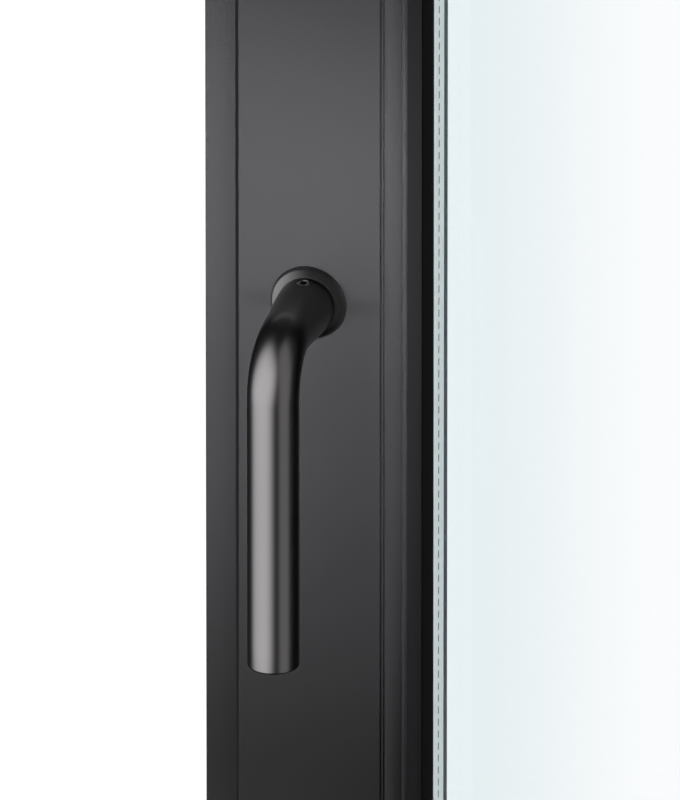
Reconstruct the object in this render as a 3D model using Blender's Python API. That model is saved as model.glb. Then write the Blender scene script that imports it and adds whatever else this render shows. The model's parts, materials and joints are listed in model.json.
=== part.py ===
"""Inward-opening aluminium casement window with double glazing and a lever handle.

Every bar is cut from an extruded profile and mitred at its ends. A profile point is (u, w):
u runs from the window's outer edge towards its middle, w from the sash's room face outwards.
The origin is the middle of the sill's underside, +Z is up and -Y is the room side.
"""
import math

import bmesh
import bpy
from mathutils import Matrix, Vector

MM = 0.001

# Overall window
WIDTH = 600 * MM
HEIGHT = 1000 * MM
FRAME_DEPTH = 70 * MM
SASH_PROUD = 8 * MM
HANDLE_HEIGHT = 500 * MM

# Clearances
GAP = 0.3 * MM
MITRE = 0.22 * MM
SWING_GAP = 5 * MM

# Profiles
WALL = 2 * MM
EDGE = 0.5 * MM
REVEAL = 15 * MM
LIP_OVERLAP = 5 * MM
HARDWARE_GAP = 9 * MM
SASH_FACE = 56 * MM
FRAME_INNER_SHELL = 24 * MM
SASH_INNER_SHELL = 26 * MM
OUTER_SHELL = 26 * MM
FRAME_NOSE = 13 * MM
SEAL_STEP = 6 * MM
LIP_RETURN = 5.5 * MM
BREAK_WALL = 2 * MM

# Glazing
PANE = 4 * MM
CAVITY = 16 * MM
BEAD_CATCH = 5 * MM
BEAD_GROOVE = 2 * MM
BEAD_FACE = 8.5 * MM
BEAD_DEPTH = 21 * MM
BEAD_NOSE = 1.1 * MM
BEAD_WALL = 1.7 * MM
GASKET = 3.5 * MM
GASKET_LIP = 3.5 * MM
SPACER_STEP = 1 * MM
SPACER_HEIGHT = 7 * MM
BLOCK_HEIGHT = 5 * MM
BLOCK_LENGTH = 60 * MM
LEG_SLOPE = 5 * MM

# Gear and drive rod
GROOVE_LIP = 1.5 * MM
GROOVE_MOUTH = 12 * MM
GROOVE_WIDTH = 16 * MM
ROD_WEB = 1.7 * MM
ROD_THICKNESS = 3.4 * MM
ROD_END = 75 * MM
GEAR_MODULE = 1.2 * MM
GEAR_TEETH = 15
GEAR_ANGLE = math.radians(25)
ADDENDUM = 0.9
DEDENDUM = 1.25
BACKLASH = 0.36 * MM
PINION_WIDTH = 7 * MM
CASE_WALL = 2 * MM
CASE_LENGTH = 60 * MM
CAM_RADIUS = 3.5 * MM
CAM_FROM_END = 60 * MM
KEEP_PLATE = 2 * MM
KEEP_HOOK = 4.2 * MM
KEEP_LENGTH = 34 * MM
KEEP_LEAD = 6 * MM
HANDLE_TURN = math.radians(90)

# Handle
SPINDLE = 7 * MM
ROSETTE_RADIUS = 14.9 * MM
ROSETTE_TAPER = 0.8 * MM
ROSETTE_HEIGHT = 3 * MM
ROSETTE_SHELL = 0.8 * MM
NECK_RADIUS = 11.3 * MM
BEND_TUBE_RADIUS = 9.6 * MM
GRIP_RADIUS = 9.9 * MM
GRIP_OFFSET = 49.8 * MM
BEND_RADIUS = 19 * MM
LEVER_LENGTH = 129 * MM
LEVER_END_ROUND = 1.2 * MM
LEVER_SEGMENTS = 24
SOCKET_DEPTH = 22 * MM
GRUB_RADIUS = 2.5 * MM
GRUB_OFFSET = 8 * MM
GRUB_KEY = 2.9 * MM
GRUB_KEY_DEPTH = 2 * MM
SCREW_PITCH = 18.8 * MM
SCREW_RADIUS = 1.6 * MM
SCREW_HEAD = 2.9 * MM

# Hinges
BARREL_RADIUS = 8 * MM
BARREL_LENGTH = 90 * MM
KNUCKLE_GAP = 0.5 * MM
PIN_RADIUS = 4 * MM
PIN_HEAD = 6 * MM
PIN_CAP = 2 * MM
LEAF = 3 * MM
SASH_LEAF_WIDTH = 29 * MM
FRAME_LEAF_MARGIN = 1.5 * MM
HINGE_FROM_END = 160 * MM

# Drainage
DRAIN_LENGTH = 30 * MM
DRAIN_HEIGHT = 6 * MM
DRAIN_LEVEL = 8 * MM
DRAIN_SPREAD = 130 * MM

# Worked out from the values above
FRAME_FRONT = SASH_PROUD
FRAME_BACK = SASH_PROUD + FRAME_DEPTH
FRAME_LEG = REVEAL + LIP_OVERLAP
SASH_EDGE = FRAME_LEG + HARDWARE_GAP
OUTER_FRONT = FRAME_BACK - OUTER_SHELL
FRAME_NOSE_TOP = FRAME_LEG + FRAME_NOSE
SASH_OUTER_EDGE = FRAME_NOSE_TOP + SWING_GAP
SEAL_FACE = OUTER_FRONT - SEAL_STEP
FACE_END = REVEAL + SASH_FACE
REBATE = FACE_END - BEAD_CATCH
BEAD_START = FACE_END + BEAD_GROOVE
BEAD_TOP = BEAD_START + BEAD_FACE
GLASS_EDGE = REBATE + BLOCK_HEIGHT
GASKET_TOP = BEAD_TOP + GASKET_LIP
SPACER_TOP = GASKET_TOP - SPACER_STEP
INNER_PANE = BEAD_DEPTH + GASKET
SPACER_FRONT = INNER_PANE + PANE
OUTER_PANE = SPACER_FRONT + CAVITY
GLASS_BACK = OUTER_PANE + PANE
LEG_FRONT = GLASS_BACK + GASKET
LEG_TOP = SPACER_TOP - GASKET_LIP
PITCH_RADIUS = GEAR_MODULE * GEAR_TEETH / 2
STROKE = PITCH_RADIUS * HANDLE_TURN
ROD_BACK = SASH_EDGE + GROOVE_LIP + GAP
RACK_ROOT = ROD_BACK + ROD_WEB
RACK_PITCH = RACK_ROOT + DEDENDUM * GEAR_MODULE
RACK_TIP = RACK_PITCH + ADDENDUM * GEAR_MODULE
SPINDLE_U = RACK_PITCH + PITCH_RADIUS
PINION_TIP = PITCH_RADIUS + ADDENDUM * GEAR_MODULE
GROOVE_FLOOR = RACK_TIP + 3 * GAP
GROOVE_MID = SASH_PROUD + GROOVE_WIDTH / 2
SPINDLE_HOLE = SPINDLE / math.sqrt(2) + 2 * GAP
HINGE_U = REVEAL - WALL
HINGE_W = -BARREL_RADIUS - GAP


def depth(w):
    """World y of a depth w behind the sash's room face."""
    return w - SASH_PROUD - FRAME_DEPTH / 2


HANDLE_AXIS = Vector((SPINDLE_U - WIDTH / 2, depth(0), HANDLE_HEIGHT))
ROD_AXIS = Vector((ROD_BACK - WIDTH / 2, depth(GROOVE_MID), HANDLE_HEIGHT))
HINGE_AXIS = Vector((WIDTH / 2 - HINGE_U, depth(HINGE_W), 0))


# ---------------------------------------------------------------- scene helpers

def clear_scene():
    for obj in list(bpy.data.objects):
        bpy.data.objects.remove(obj, do_unlink=True)


def material(name, rgb, roughness, metallic, alpha=1.0):
    made = bpy.data.materials.new(name)
    made.use_nodes = True
    shader = made.node_tree.nodes["Principled BSDF"]
    shader.inputs["Base Color"].default_value = (*rgb, 1.0)
    shader.inputs["Roughness"].default_value = roughness
    shader.inputs["Metallic"].default_value = metallic
    shader.inputs["Alpha"].default_value = alpha
    made.diffuse_color = (*rgb, alpha)
    return made


def empty(name, place, parent=None):
    made = bpy.data.objects.new(name, None)
    made.location = place - (parent["place"] if parent else Vector((0, 0, 0)))
    bpy.context.collection.objects.link(made)
    if parent:
        made.parent = parent["object"]
    return {"object": made, "place": place}


def finish(name, bm, group, finish_material, smooth=False):
    """Turn a bmesh in world coordinates into a named object carried by a group."""
    bmesh.ops.remove_doubles(bm, verts=bm.verts, dist=1e-7)
    bmesh.ops.recalc_face_normals(bm, faces=bm.faces)
    mesh = bpy.data.meshes.new(name)
    bm.to_mesh(mesh)
    bm.free()
    if smooth:
        mesh.shade_smooth()
        mesh.set_sharp_from_angle(angle=math.radians(35))
    obj = bpy.data.objects.new(name, mesh)
    bpy.context.collection.objects.link(obj)
    if group:
        mesh.transform(Matrix.Translation(-group["place"]))
        obj.parent = group["object"]
    if finish_material:
        mesh.materials.append(finish_material)
    return obj


def cut(obj, *shapes):
    """Cut an object with shapes, given in world coordinates, that don't touch each other."""
    whole = bmesh.new()
    for shape in shapes:
        mesh = bpy.data.meshes.new("cut")
        shape.to_mesh(mesh)
        shape.free()
        whole.from_mesh(mesh)
        bpy.data.meshes.remove(mesh)
    tool = finish("cut_" + obj.name, whole, None, None)
    tool.hide_render = True
    tool.display_type = "WIRE"
    step = obj.modifiers.new("cut", "BOOLEAN")
    step.operation = "DIFFERENCE"
    step.solver = "EXACT"
    step.object = tool


# ---------------------------------------------------------------- shape helpers

def arc(centre, radius, start, end, steps):
    """Points of an arc in the (u, w) plane, angles in degrees from +u towards +w."""
    points = []
    for i in range(steps + 1):
        angle = math.radians(start + (end - start) * i / steps)
        points.append((centre[0] + radius * math.cos(angle), centre[1] + radius * math.sin(angle)))
    return points


def rectangle(u0, u1, w0, w1):
    return [(u0, w0), (u1, w0), (u1, w1), (u0, w1)]


def without_repeats(points):
    """An outline without the points that fall on the one before them."""
    kept = []
    for point in points:
        if not kept or math.dist(point, kept[-1]) > EDGE / 100:
            kept.append(point)
    return kept


def place(side, u, w, along):
    if side == "left":
        return Vector((u - WIDTH / 2, depth(w), along))
    if side == "right":
        return Vector((WIDTH / 2 - u, depth(w), along))
    if side == "bottom":
        return Vector((along - WIDTH / 2, depth(w), u))
    return Vector((along - WIDTH / 2, depth(w), HEIGHT - u))


def extrude_loops(bm, loops, start, end):
    """Extrude an outline and its holes between two placing functions and cap both ends."""
    ends = ([], [])
    for loop in loops:
        rings = [[bm.verts.new(at(u, w)) for u, w in loop] for at in (start, end)]
        count = len(loop)
        for i in range(count):
            j = (i + 1) % count
            bm.faces.new((rings[0][i], rings[0][j], rings[1][j], rings[1][i]))
        for edges, ring in zip(ends, rings):
            for i in range(count):
                edges.append(bm.edges.get((ring[i], ring[(i + 1) % count])))
    for edges in ends:
        bmesh.ops.triangle_fill(bm, use_beauty=True, use_dissolve=False, edges=edges)


def mitred_bar(name, side, loops, group, finish_material):
    """One bar of a mitred frame: an extrusion whose ends follow the 45 degree corner planes."""
    length = HEIGHT if side in ("left", "right") else WIDTH
    bm = bmesh.new()
    extrude_loops(
        bm,
        loops,
        lambda u, w: place(side, u, w, u + MITRE),
        lambda u, w: place(side, u, w, length - u - MITRE),
    )
    return finish(name, bm, group, finish_material)


def ring(name, outline, group, finish_material):
    """A closed ring of constant section that follows all four sides."""
    bm = bmesh.new()
    corners = []
    for side, far in (("left", False), ("right", False), ("right", True), ("left", True)):
        row = []
        for u, w in outline:
            row.append(bm.verts.new(place(side, u, w, HEIGHT - u if far else u)))
        corners.append(row)
    for c in range(4):
        here, there = corners[c], corners[(c + 1) % 4]
        for i in range(len(outline)):
            j = (i + 1) % len(outline)
            bm.faces.new((here[i], here[j], there[j], there[i]))
    return finish(name, bm, group, finish_material)


def box(low, high):
    bm = bmesh.new()
    bmesh.ops.create_cube(bm, size=1)
    low, high = Vector(low), Vector(high)
    size = high - low
    bmesh.ops.scale(bm, vec=size, verts=bm.verts)
    bmesh.ops.translate(bm, vec=(low + high) / 2, verts=bm.verts)
    return bm


def turned(centre, direction, profile, segments=24, closed=False):
    """Turn (radius, distance) points about an axis; a closed profile leaves a bore."""
    direction = Vector(direction).normalized()
    side = direction.orthogonal().normalized()
    up = direction.cross(side)
    bm = bmesh.new()
    rings = []
    for radius, distance in profile:
        middle = Vector(centre) + direction * distance
        if radius == 0:
            rings.append([bm.verts.new(middle)] * segments)
            continue
        row = []
        for i in range(segments):
            angle = 2 * math.pi * i / segments
            row.append(bm.verts.new(middle + radius * (math.cos(angle) * side + math.sin(angle) * up)))
        rings.append(row)
    count = len(rings) if closed else len(rings) - 1
    for k in range(count):
        here, there = rings[k], rings[(k + 1) % len(rings)]
        for i in range(segments):
            j = (i + 1) % segments
            corners = []
            for corner in (here[i], here[j], there[j], there[i]):
                if corner not in corners:
                    corners.append(corner)
            bm.faces.new(corners)
    bmesh.ops.recalc_face_normals(bm, faces=bm.faces)
    return bm


def rod_shape(centre, direction, radius, start, end, segments=24):
    return turned(centre, direction, [(0, start), (radius, start), (radius, end), (0, end)], segments)


def upright(outlines, side, low, high):
    """A profile extruded straight up along one jamb."""
    bm = bmesh.new()
    extrude_loops(bm, outlines, lambda u, w: place(side, u, w, low), lambda u, w: place(side, u, w, high))
    return bm


# ---------------------------------------------------------------- profiles

def frame_inner_profile():
    front, back = FRAME_FRONT, FRAME_FRONT + FRAME_INNER_SHELL
    outer = [
        (0, front + EDGE),
        (EDGE, front),
        (FRAME_LEG - EDGE, front),
        (FRAME_LEG, front + EDGE),
        (FRAME_LEG, back),
        (0, back),
    ]
    return [outer, rectangle(WALL, FRAME_LEG - WALL, front + WALL, back - WALL)]


def frame_break_profile():
    front = FRAME_FRONT + FRAME_INNER_SHELL + GAP
    back = OUTER_FRONT - GAP
    middle = (front + back) / 2
    top = FRAME_LEG - WALL
    half = BREAK_WALL / 2
    low, high = BREAK_WALL, top - BREAK_WALL
    return [
        rectangle(0, top, front, back),
        rectangle(low, high, front + BREAK_WALL, middle - half),
        rectangle(low, high, middle + half, back - BREAK_WALL),
    ]


def frame_outer_profile():
    outer = [
        (0, OUTER_FRONT),
        (FRAME_NOSE_TOP, OUTER_FRONT),
        (FRAME_NOSE_TOP, FRAME_BACK - EDGE),
        (FRAME_NOSE_TOP - EDGE, FRAME_BACK),
        (EDGE, FRAME_BACK),
        (0, FRAME_BACK - EDGE),
    ]
    hole = rectangle(WALL, FRAME_NOSE_TOP - WALL, OUTER_FRONT + WALL, FRAME_BACK - WALL)
    return [outer, hole]


def sash_inner_profile():
    lip = SASH_EDGE + GROOVE_LIP
    groove_in, groove_out = GROOVE_MID - GROOVE_WIDTH / 2, GROOVE_MID + GROOVE_WIDTH / 2
    mouth_in, mouth_out = GROOVE_MID - GROOVE_MOUTH / 2, GROOVE_MID + GROOVE_MOUTH / 2
    outer = [
        (REVEAL, EDGE),
        (REVEAL + EDGE, 0),
        (FACE_END - EDGE, 0),
        (FACE_END, EDGE),
        (FACE_END, WALL),
        (REBATE, WALL),
        (REBATE, SASH_INNER_SHELL),
        (SASH_EDGE, SASH_INNER_SHELL),
        (SASH_EDGE, mouth_out),
        (lip, mouth_out),
        (lip, groove_out),
        (GROOVE_FLOOR, groove_out),
        (GROOVE_FLOOR, groove_in),
        (lip, groove_in),
        (lip, mouth_in),
        (SASH_EDGE, mouth_in),
        (SASH_EDGE, WALL),
        (REVEAL + WALL, WALL),
        (REVEAL + WALL, LIP_RETURN),
        (REVEAL, LIP_RETURN),
    ]
    chamber = [
        (SASH_EDGE + WALL, WALL),
        (REBATE - WALL, WALL),
        (REBATE - WALL, SASH_INNER_SHELL - WALL),
        (GROOVE_FLOOR + WALL, SASH_INNER_SHELL - WALL),
        (GROOVE_FLOOR + WALL, groove_in - WALL),
        (SASH_EDGE + WALL, groove_in - WALL),
    ]
    return [outer, chamber]


def sash_break_profile():
    front, back = SASH_INNER_SHELL + GAP, OUTER_FRONT - GAP
    step = SASH_OUTER_EDGE
    outer = [
        (SASH_EDGE, front),
        (REBATE, front),
        (REBATE, back),
        (step, back),
        (step, SEAL_FACE),
        (SASH_EDGE, SEAL_FACE),
    ]
    low_hole = rectangle(
        SASH_EDGE + BREAK_WALL, step - BREAK_WALL, front + BREAK_WALL, SEAL_FACE - BREAK_WALL
    )
    high_hole = rectangle(step, REBATE - BREAK_WALL, front + BREAK_WALL, SEAL_FACE - BREAK_WALL)
    return [outer, low_hole, high_hole]


def sash_outer_profile():
    """Outdoor shell; its glazing leg starts behind the glass, wherever the bead puts that."""
    outer = [
        (SASH_OUTER_EDGE, OUTER_FRONT),
        (REBATE + GAP, OUTER_FRONT),
        (REBATE + GAP, LEG_FRONT),
        (LEG_TOP, LEG_FRONT),
        (LEG_TOP, LEG_FRONT + WALL),
        (LEG_TOP - LEG_SLOPE, FRAME_BACK - EDGE),
        (LEG_TOP - LEG_SLOPE - EDGE, FRAME_BACK),
        (SASH_OUTER_EDGE + EDGE, FRAME_BACK),
        (SASH_OUTER_EDGE, FRAME_BACK - EDGE),
    ]
    top = LEG_TOP - LEG_SLOPE - WALL
    inside = max(OUTER_FRONT, LEG_FRONT) + WALL
    hole = rectangle(SASH_OUTER_EDGE + WALL, top, inside, FRAME_BACK - WALL)
    return [without_repeats(outer), hole]


def bead_profile():
    nose = (BEAD_TOP - BEAD_NOSE, BEAD_NOSE)
    groove = nose[0] - BEAD_NOSE
    outer = [
        (REBATE + GAP, WALL + GAP),
        (BEAD_START, WALL + GAP),
        (BEAD_START, EDGE),
        (BEAD_START + EDGE, 0),
        (groove - EDGE, 0),
        (groove, EDGE),
    ]
    outer += arc(nose, BEAD_NOSE, 210, 360, 6)
    outer += [(BEAD_TOP, BEAD_DEPTH), (REBATE + GAP, BEAD_DEPTH)]
    hole = rectangle(
        REBATE + GAP + BEAD_WALL,
        BEAD_TOP - BEAD_WALL,
        WALL + GAP + BEAD_WALL,
        BEAD_DEPTH - BEAD_WALL,
    )
    return [outer, hole]


def room_gasket_profile():
    return [
        (GLASS_EDGE + GAP, BEAD_DEPTH + GAP),
        (BEAD_TOP + GAP, BEAD_DEPTH + GAP),
        (GASKET_TOP - 3 * GAP, (BEAD_DEPTH + INNER_PANE) / 2),
        (GASKET_TOP, INNER_PANE - 2 * GAP),
        (GASKET_TOP, INNER_PANE - GAP),
        (GLASS_EDGE + GAP, INNER_PANE - GAP),
    ]


def outer_gasket_profile():
    return [
        (GLASS_EDGE + GAP, GLASS_BACK + GAP),
        (SPACER_TOP, GLASS_BACK + GAP),
        (SPACER_TOP - 3 * GAP, GLASS_BACK + PANE / 3),
        (LEG_TOP + GAP, LEG_FRONT - GAP),
        (GLASS_EDGE + GAP, LEG_FRONT - GAP),
    ]


def stop_seal_profile():
    low, high = REVEAL + WALL + GAP, REVEAL + WALL + GAP + LIP_OVERLAP
    return [
        (low, WALL + GAP),
        (high, WALL + GAP),
        (high, FRAME_FRONT - LIP_OVERLAP / 3),
        (high - LIP_OVERLAP / 3, FRAME_FRONT - GAP),
        (low + GAP, FRAME_FRONT - GAP),
        (low, FRAME_FRONT - LIP_OVERLAP / 3),
    ]


def centre_seal_profile():
    low, high = FRAME_NOSE_TOP - SEAL_STEP - LIP_OVERLAP / 2, FRAME_NOSE_TOP - GAP
    return [
        (low, OUTER_FRONT - GAP),
        (low, OUTER_FRONT - SEAL_STEP / 2),
        (SASH_EDGE - SEAL_STEP / 4, SEAL_FACE + GAP),
        (high - SEAL_STEP / 4, SEAL_FACE + GAP),
        (high, SEAL_FACE + SEAL_STEP / 3),
        (high, OUTER_FRONT - GAP),
    ]


# ---------------------------------------------------------------- pieces

SIDES = ("left", "right", "bottom", "top")


def build_frame(finishes):
    for side in SIDES:
        mitred_bar("frame_inner_" + side, side, frame_inner_profile(), None, finishes["coat"])
        mitred_bar("frame_break_" + side, side, frame_break_profile(), None, finishes["polyamide"])
        outer = mitred_bar("frame_outer_" + side, side, frame_outer_profile(), None, finishes["coat"])
        if side == "bottom":
            for x in (-DRAIN_SPREAD, DRAIN_SPREAD):
                low = (x - DRAIN_LENGTH / 2, depth(FRAME_BACK - 2 * WALL), DRAIN_LEVEL)
                high = (x + DRAIN_LENGTH / 2, depth(FRAME_BACK + WALL), DRAIN_LEVEL + DRAIN_HEIGHT)
                cut(outer, box(low, high))
    ring("centre_seal", centre_seal_profile(), None, finishes["rubber"])


def build_sash(group, finishes):
    for side in SIDES:
        inner = mitred_bar("sash_inner_" + side, side, sash_inner_profile(), group, finishes["coat"])
        mitred_bar("sash_break_" + side, side, sash_break_profile(), group, finishes["polyamide"])
        mitred_bar("sash_outer_" + side, side, sash_outer_profile(), group, finishes["coat"])
        mitred_bar("bead_" + side, side, bead_profile(), group, finishes["coat"])
        if side == "left":
            cut_handle_seat(inner)
    ring("stop_seal", stop_seal_profile(), group, finishes["rubber"])
    ring("room_gasket", room_gasket_profile(), group, finishes["rubber"])
    ring("outer_gasket", outer_gasket_profile(), group, finishes["rubber"])


def cut_handle_seat(bar):
    """Pocket for the gear case through the groove floor, and the holes in the room face."""
    half = CASE_LENGTH / 2 + GAP
    low = place("left", GROOVE_FLOOR - GAP, GROOVE_MID - GROOVE_MOUTH / 2, HANDLE_HEIGHT - half)
    high = place("left", GROOVE_FLOOR + 2 * WALL, GROOVE_MID + GROOVE_MOUTH / 2, HANDLE_HEIGHT + half)
    shapes = [box(low, high), rod_shape(HANDLE_AXIS, (0, 1, 0), SPINDLE_HOLE, -WALL, 2 * WALL)]
    for z in (-SCREW_PITCH / 2, SCREW_PITCH / 2):
        at = HANDLE_AXIS + Vector((0, 0, z))
        shapes.append(rod_shape(at, (0, 1, 0), SCREW_RADIUS + GAP, -WALL, 2 * WALL, 16))
    cut(bar, *shapes)


def build_glazing(group, finishes):
    for name, front in (("inner_pane", INNER_PANE), ("outer_pane", OUTER_PANE)):
        low = place("left", GLASS_EDGE + GAP, front, GLASS_EDGE + GAP)
        high = place("right", GLASS_EDGE + GAP, front + PANE, HEIGHT - GLASS_EDGE - GAP)
        finish(name, box(low, high), group, finishes["glass"])
    front, back = SPACER_FRONT + GAP, OUTER_PANE - GAP
    spacer_foot = SPACER_TOP - SPACER_HEIGHT
    ring("spacer_bar", rectangle(spacer_foot, SPACER_TOP, front, back), group, finishes["spacer"])
    seal = rectangle(GLASS_EDGE + GAP, spacer_foot - GAP, front, back)
    ring("edge_seal", seal, group, finishes["rubber"])
    reach = WIDTH / 2 - GLASS_EDGE - BLOCK_LENGTH
    for name, x in (("setting_block_left", -reach), ("setting_block_right", reach)):
        low = (x - BLOCK_LENGTH / 2, depth(INNER_PANE - GAP), REBATE + GAP)
        high = (x + BLOCK_LENGTH / 2, depth(GLASS_BACK + GAP), GLASS_EDGE)
        finish(name, box(low, high), group, finishes["polyamide"])


def build_gear_case(group, finishes):
    reach = PINION_TIP + 2 * GAP
    front = GROOVE_MID - PINION_WIDTH / 2 - GAP
    back = GROOVE_MID + PINION_WIDTH / 2 + GAP
    half = CASE_LENGTH / 2
    rod_top = ROD_BACK + ROD_THICKNESS
    near = max(RACK_TIP, rod_top) + GAP
    low = place("left", near, front - CASE_WALL, HANDLE_HEIGHT - half)
    high = place("left", SPINDLE_U + reach + CASE_WALL, back + CASE_WALL, HANDLE_HEIGHT + half)
    case = finish("gear_case", box(low, high), group, finishes["zinc"])
    centre = HANDLE_AXIS
    cut(case, rod_shape(centre, (0, 1, 0), reach, front, back, 32))
    low = place("left", near - WALL, front, HANDLE_HEIGHT - reach)
    high = place("left", SPINDLE_U, back, HANDLE_HEIGHT + reach)
    cut(case, box(low, high))
    cut(case, rod_shape(centre, (0, 1, 0), SPINDLE_HOLE, front - 2 * CASE_WALL, back + 2 * CASE_WALL))
    for z in (-SCREW_PITCH / 2, SCREW_PITCH / 2):
        at = centre + Vector((0, 0, z))
        cut(case, rod_shape(at, (0, 1, 0), SCREW_RADIUS + GAP, front - 2 * CASE_WALL, front + GAP, 16))


def involute_flank(base, start, end, steps):
    """Radius and turn of points on an involute between two radii."""
    points = []
    for i in range(steps + 1):
        radius = start + (end - start) * i / steps
        roll = math.sqrt(max((radius / base) ** 2 - 1, 0))
        points.append((radius, roll - math.atan(roll)))
    return points


def pinion_outline():
    """Spur gear outline about its own centre, one space centred on the -u side."""
    base = PITCH_RADIUS * math.cos(GEAR_ANGLE)
    root = PITCH_RADIUS - DEDENDUM * GEAR_MODULE
    lean = math.tan(GEAR_ANGLE) - GEAR_ANGLE
    half_tooth = (math.pi * GEAR_MODULE / 2 - BACKLASH / 2) / 2 / PITCH_RADIUS
    flank = involute_flank(base, max(base, root), PINION_TIP, 4)
    points = []
    for tooth in range(GEAR_TEETH):
        middle = math.pi + 2 * math.pi * (tooth + 0.5) / GEAR_TEETH
        foot = half_tooth + lean
        rising = [(root, foot)] + [(radius, half_tooth + lean - turn) for radius, turn in flank]
        for radius, offset in rising:
            points.append((radius * math.cos(middle - offset), radius * math.sin(middle - offset)))
        for radius, offset in reversed(rising):
            points.append((radius * math.cos(middle + offset), radius * math.sin(middle + offset)))
    return points


def build_pinion(group, finishes):
    half = SPINDLE / 2 + GAP
    bore = [(-half, -half), (half, -half), (half, half), (-half, half)]
    front, back = GROOVE_MID - PINION_WIDTH / 2, GROOVE_MID + PINION_WIDTH / 2
    bm = bmesh.new()
    extrude_loops(
        bm,
        [pinion_outline(), bore],
        lambda x, z: HANDLE_AXIS + Vector((x, front, z)),
        lambda x, z: HANDLE_AXIS + Vector((x, back, z)),
    )
    finish("pinion", bm, group, finishes["steel"])


def rack_outline(low, high):
    """Side view (u, z) of the rod that carries the rack; a tooth is centred on the pinion axis."""
    pitch = math.pi * GEAR_MODULE
    slope = math.tan(GEAR_ANGLE)
    half_tooth = pitch / 4 - BACKLASH / 4
    half_root = half_tooth + slope * (RACK_PITCH - RACK_ROOT)
    half_tip = half_tooth - slope * (RACK_TIP - RACK_PITCH)
    below = math.ceil((PINION_TIP + GAP) / pitch)
    above = math.ceil((STROKE + PINION_TIP + GAP) / pitch)
    points = [(ROD_BACK, low), (RACK_ROOT, low)]
    for tooth in range(-below, above + 1):
        middle = HANDLE_HEIGHT + tooth * pitch
        points.append((RACK_ROOT, middle - half_root))
        points.append((RACK_TIP, middle - half_tip))
        points.append((RACK_TIP, middle + half_tip))
        points.append((RACK_ROOT, middle + half_root))
    shoulder = HANDLE_HEIGHT + above * pitch + half_root + GAP
    points += [(RACK_ROOT, shoulder), (ROD_BACK + ROD_THICKNESS, shoulder + WALL)]
    points += [(ROD_BACK + ROD_THICKNESS, high), (ROD_BACK, high)]
    return points


def build_drive_rod(group, finishes):
    half = GROOVE_WIDTH / 2 - 2 * GAP
    front, back = depth(GROOVE_MID - half), depth(GROOVE_MID + half)
    join = HANDLE_HEIGHT - CASE_LENGTH / 2
    bm = bmesh.new()
    outline = rack_outline(join, HEIGHT - ROD_END)
    extrude_loops(
        bm,
        [outline],
        lambda u, z: Vector((u - WIDTH / 2, front, z)),
        lambda u, z: Vector((u - WIDTH / 2, back, z)),
    )
    finish("upper_drive_rod", bm, group, finishes["steel"])
    low = (ROD_BACK - WIDTH / 2, front, ROD_END)
    high = (ROD_BACK + ROD_THICKNESS - WIDTH / 2, back, join - GAP)
    finish("lower_drive_rod", box(low, high), group, finishes["steel"])
    for name, z in cam_places():
        foot = place("left", ROD_BACK - GAP, GROOVE_MID, z)
        reach = ROD_BACK - GAP - FRAME_LEG - KEEP_PLATE - 3 * GAP
        profile = [(0, 0), (CAM_RADIUS, 0), (CAM_RADIUS, reach - EDGE)]
        profile += [(CAM_RADIUS - EDGE, reach), (0, reach)]
        finish(name, turned(foot, (-1, 0, 0), profile), group, finishes["steel"], smooth=True)


def cam_places():
    low = ROD_END + CAM_FROM_END
    return (("upper_locking_cam", HEIGHT - low), ("lower_locking_cam", low))


def build_keeps(finishes):
    front = GROOVE_MID - CAM_RADIUS - WALL / 2 - KEEP_PLATE
    back = GROOVE_MID + CAM_RADIUS + WALL
    base = FRAME_LEG + GAP
    outline = [
        (base, front),
        (base + KEEP_PLATE + KEEP_HOOK, front),
        (base + KEEP_PLATE + KEEP_HOOK, front + KEEP_PLATE),
        (base + KEEP_PLATE, front + KEEP_PLATE),
        (base + KEEP_PLATE, back),
        (base, back),
    ]
    names = ("upper_keep", "lower_keep")
    for name, (cam, z) in zip(names, cam_places()):
        bm = upright([outline], "left", z - KEEP_LEAD, z - KEEP_LEAD + KEEP_LENGTH)
        finish(name, bm, None, finishes["zinc"])


def lever_path():
    """Centre points, tangents and radii of the lever, as (offset from the sash face, height)."""
    foot = ROSETTE_HEIGHT + GAP
    straight = GRIP_OFFSET - BEND_RADIUS
    rows = []
    for i in range(5):
        rows.append((foot + (straight - foot) * i / 4, 0.0, 1.0, 0.0))
    for i in range(1, 10):
        angle = math.pi / 2 * i / 9
        out = straight + BEND_RADIUS * math.sin(angle)
        down = -BEND_RADIUS + BEND_RADIUS * math.cos(angle)
        rows.append((out, down, math.cos(angle), -math.sin(angle)))
    for i in range(1, 3):
        down = -BEND_RADIUS - (LEVER_LENGTH - BEND_RADIUS) * i / 3
        rows.append((GRIP_OFFSET, down, 0.0, -1.0))
    return rows


def lever_radius(travel):
    """Neck tapers into the bend, and the grip is a little fuller again."""
    bend = GRIP_OFFSET - BEND_RADIUS
    taper = min(travel / bend, 1)
    taper = taper * taper * (3 - 2 * taper)
    swell = min(max((travel - bend) / BEND_RADIUS, 0), 1)
    return NECK_RADIUS + (BEND_TUBE_RADIUS - NECK_RADIUS) * taper + (GRIP_RADIUS - BEND_TUBE_RADIUS) * swell


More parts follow.
